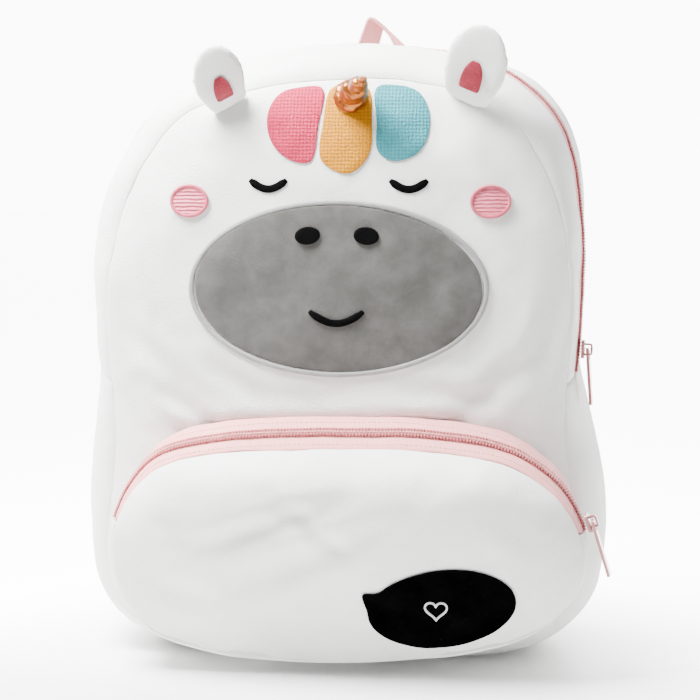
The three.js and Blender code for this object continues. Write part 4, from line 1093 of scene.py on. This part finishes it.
painted_metal = make_nylon("painted_pink_metal", PAINT_PINK, PAINT_SHADE, 0.3)
painted_metal.node_tree.nodes["Principled BSDF"].inputs["Coat Weight"].default_value = 0.5
painted_metal.node_tree.nodes["Principled BSDF"].inputs["Coat Roughness"].default_value = 0.15
HARDWARE = [
    ("main_zip_slider", "bag"),
    ("main_zip_pull", "main_pull"),
    ("pocket_zip_slider", "bag"),
    ("pocket_zip_pull", "pocket_pull"),
]
for node, body in HARDWARE:
    hardware = bevelled(node, node + "_painted", EDGE_ROUND, 3, 35, 40)
    finish_piece(hardware, painted_metal, body, "zip_metal", node)


# The ears: two stuffed plush cones with a deep-pink plush patch on the front of each.
EAR_VOXEL = 0.0018
EAR_SWELL = 0.0009
EAR_PINK = (0.20, 0.010, 0.022, 1)
EAR_PINK_LIGHT = (0.34, 0.024, 0.045, 1)
PUFF_FRAMES = 20
PUFF_PRESSURE = 4.0


def puff_out(piece, voxel, most):
    """Blows a padded piece up as cloth, moves no point further than the most, and keeps only the shape."""
    add_modifier(piece, "REMESH", mode="VOXEL", voxel_size=voxel)
    before = [point.co.copy() for point in piece.data.vertices]
    work_on(piece)
    cloth = piece.modifiers.new("cloth", "CLOTH")
    cloth.settings.use_pressure = True
    cloth.settings.uniform_pressure_force = PUFF_PRESSURE
    cloth.settings.effector_weights.gravity = 0
    cloth.point_cache.frame_start = 1
    cloth.point_cache.frame_end = PUFF_FRAMES
    for step in range(1, PUFF_FRAMES + 1):
        bpy.context.scene.frame_set(step)
    puffed = piece.evaluated_get(bpy.context.evaluated_depsgraph_get()).to_mesh()
    after = [point.co.copy() for point in puffed.vertices]
    piece.evaluated_get(bpy.context.evaluated_depsgraph_get()).to_mesh_clear()
    piece.modifiers.remove(cloth)
    bpy.context.scene.frame_set(1)
    for point, start, end in zip(piece.data.vertices, before, after):
        moved = end - start
        if moved.length > most:
            moved = moved.normalized() * most
        point.co = start + moved
    piece.data.update()
    add_modifier(piece, "SMOOTH", factor=0.5, iterations=3)
    rounded(piece, 1)


ear_pink = make_plush(
    "ear_pink_plush", EAR_PINK, EAR_PINK_LIGHT, tuft_scale=1100.0, swirl_scale=90.0, swirl_depth=0.6,
    sheen=0.5)
for side in ("left", "right"):
    ear = copy_of("ear_" + side, "ear_" + side + "_plush")
    puff_out(ear, EAR_VOXEL, EAR_SWELL)
    finish_piece(ear, white_plush, "bag", "plush", "ear_" + side)
    ear_plain = plain_skin("ear_" + side)
    ear_skin = panel_under("ear_" + side)
    inner = softened("ear_inner_" + side, "ear_inner_" + side + "_plush", 3)
    for point in inner.data.vertices:
        before, normal, _, _ = ear_plain.find_nearest(point.co)
        after = ear_skin.find_nearest(point.co)[0]
        point.co += normal * ((after - before).dot(normal) + 0.0001)
    inner.data.update()
    finish_piece(inner, ear_pink, "bag", "ear_pink_plush", "ear_inner_" + side)


# The horn: crinkled gold foil cloth sewn to a cone, stuffed and wound with thread, so that it bulges
# between spiral folds.
HORN_FOOT = Vector((0.0062, -0.0325, 0.2925))
HORN_TURNS = 3.2
HORN_FOLD = 0.26
HORN_FOLD_WIDTH = 0.11
HORN_CRINKLE = 0.0007
HORN_CRINKLES = 260
FOIL_RELIEF = 0.55
FOIL_DEPTH = 0.0007
GOLD = (0.42, 0.15, 0.012, 1)
GOLD_ROSE = (0.22, 0.045, 0.020, 1)

foil, foil_tree, foil_shader = new_material("gold_foil", GOLD, 0.3)
foil_place = foil_tree.nodes.new("ShaderNodeTexCoord")
foil_cells = foil_tree.nodes.new("ShaderNodeTexVoronoi")
foil_cells.inputs["Scale"].default_value = 330.0
foil_noise = foil_tree.nodes.new("ShaderNodeTexNoise")
foil_noise.inputs["Scale"].default_value = 210.0
foil_noise.inputs["Detail"].default_value = 3
foil_tree.links.new(foil_place.outputs["Object"], foil_cells.inputs["Vector"])
foil_tree.links.new(foil_place.outputs["Object"], foil_noise.inputs["Vector"])
tint(foil_tree, foil_shader, foil_noise.outputs["Fac"], GOLD_ROSE, GOLD)
emboss(foil_tree, foil_shader, foil_cells.outputs["Distance"], FOIL_RELIEF, FOIL_DEPTH)
foil_shader.inputs["Metallic"].default_value = 0.85

horn = softened("horn", "horn_foil", 3)
horn_tip = min((point.co.copy() for point in horn.data.vertices), key=lambda co: co.y)
horn_line = horn_tip - HORN_FOOT
horn_axis = horn_line.normalized()
horn_side = horn_axis.cross(Vector((0, 0, 1))).normalized()
horn_up = horn_side.cross(horn_axis)
for point in horn.data.vertices:
    out = point.co - HORN_FOOT
    height = out.dot(horn_axis)
    spoke = out - horn_axis * height
    turn = math.atan2(spoke.dot(horn_up), spoke.dot(horn_side)) / (2 * math.pi)
    phase = (turn + HORN_TURNS * height / horn_line.length) % 1.0
    fold = math.exp(-((phase - 0.5) / HORN_FOLD_WIDTH) ** 2)
    crinkle = noise.noise(point.co * HORN_CRINKLES) * HORN_CRINKLE
    point.co -= spoke * HORN_FOLD * fold
    if spoke.length > 1e-5:
        point.co += spoke.normalized() * crinkle
horn.data.update()
finish_piece(horn, foil, "bag", "gold_foil_cloth", "horn")


# The carrying loop and the shoulder straps: plush-covered pads sewn in at the top of the back, and woven
# webbing that runs up from the foot through a ladder adjuster at the end of each pad.
WEBBING_PINK = (0.62, 0.27, 0.27, 1)
WEBBING_SHADE = (0.52, 0.20, 0.20, 1)
STRAP_EDGE = 0.0004
PAD_VOXEL = 0.004
PAD_SWELL = 0.0022

pink_webbing = make_woven("pink_webbing", WEBBING_PINK, WEBBING_SHADE, thread_scale=4200.0, relief=0.7)
pink_plastic = make_nylon("pink_plastic", (0.62, 0.25, 0.25, 1), (0.55, 0.20, 0.20, 1), 0.35)
for node in ("handle_loop", "strap_webbing_left", "strap_webbing_right"):
    webbing = bevelled(node, node + "_woven", STRAP_EDGE, 2, 50, 60)
    finish_piece(webbing, pink_webbing, "bag", "webbing", node)
for side in ("left", "right"):
    pad = copy_of("strap_pad_" + side, "strap_pad_" + side + "_plush")
    puff_out(pad, PAD_VOXEL, PAD_SWELL)
    finish_piece(pad, white_plush, "bag", "plush", "strap_pad_" + side)
    node = "strap_adjuster_" + side
    adjuster = bevelled(node, node + "_moulded", EDGE_ROUND, 2, 35, 40)
    finish_piece(adjuster, pink_plastic, "bag", "adjuster_plastic", node)
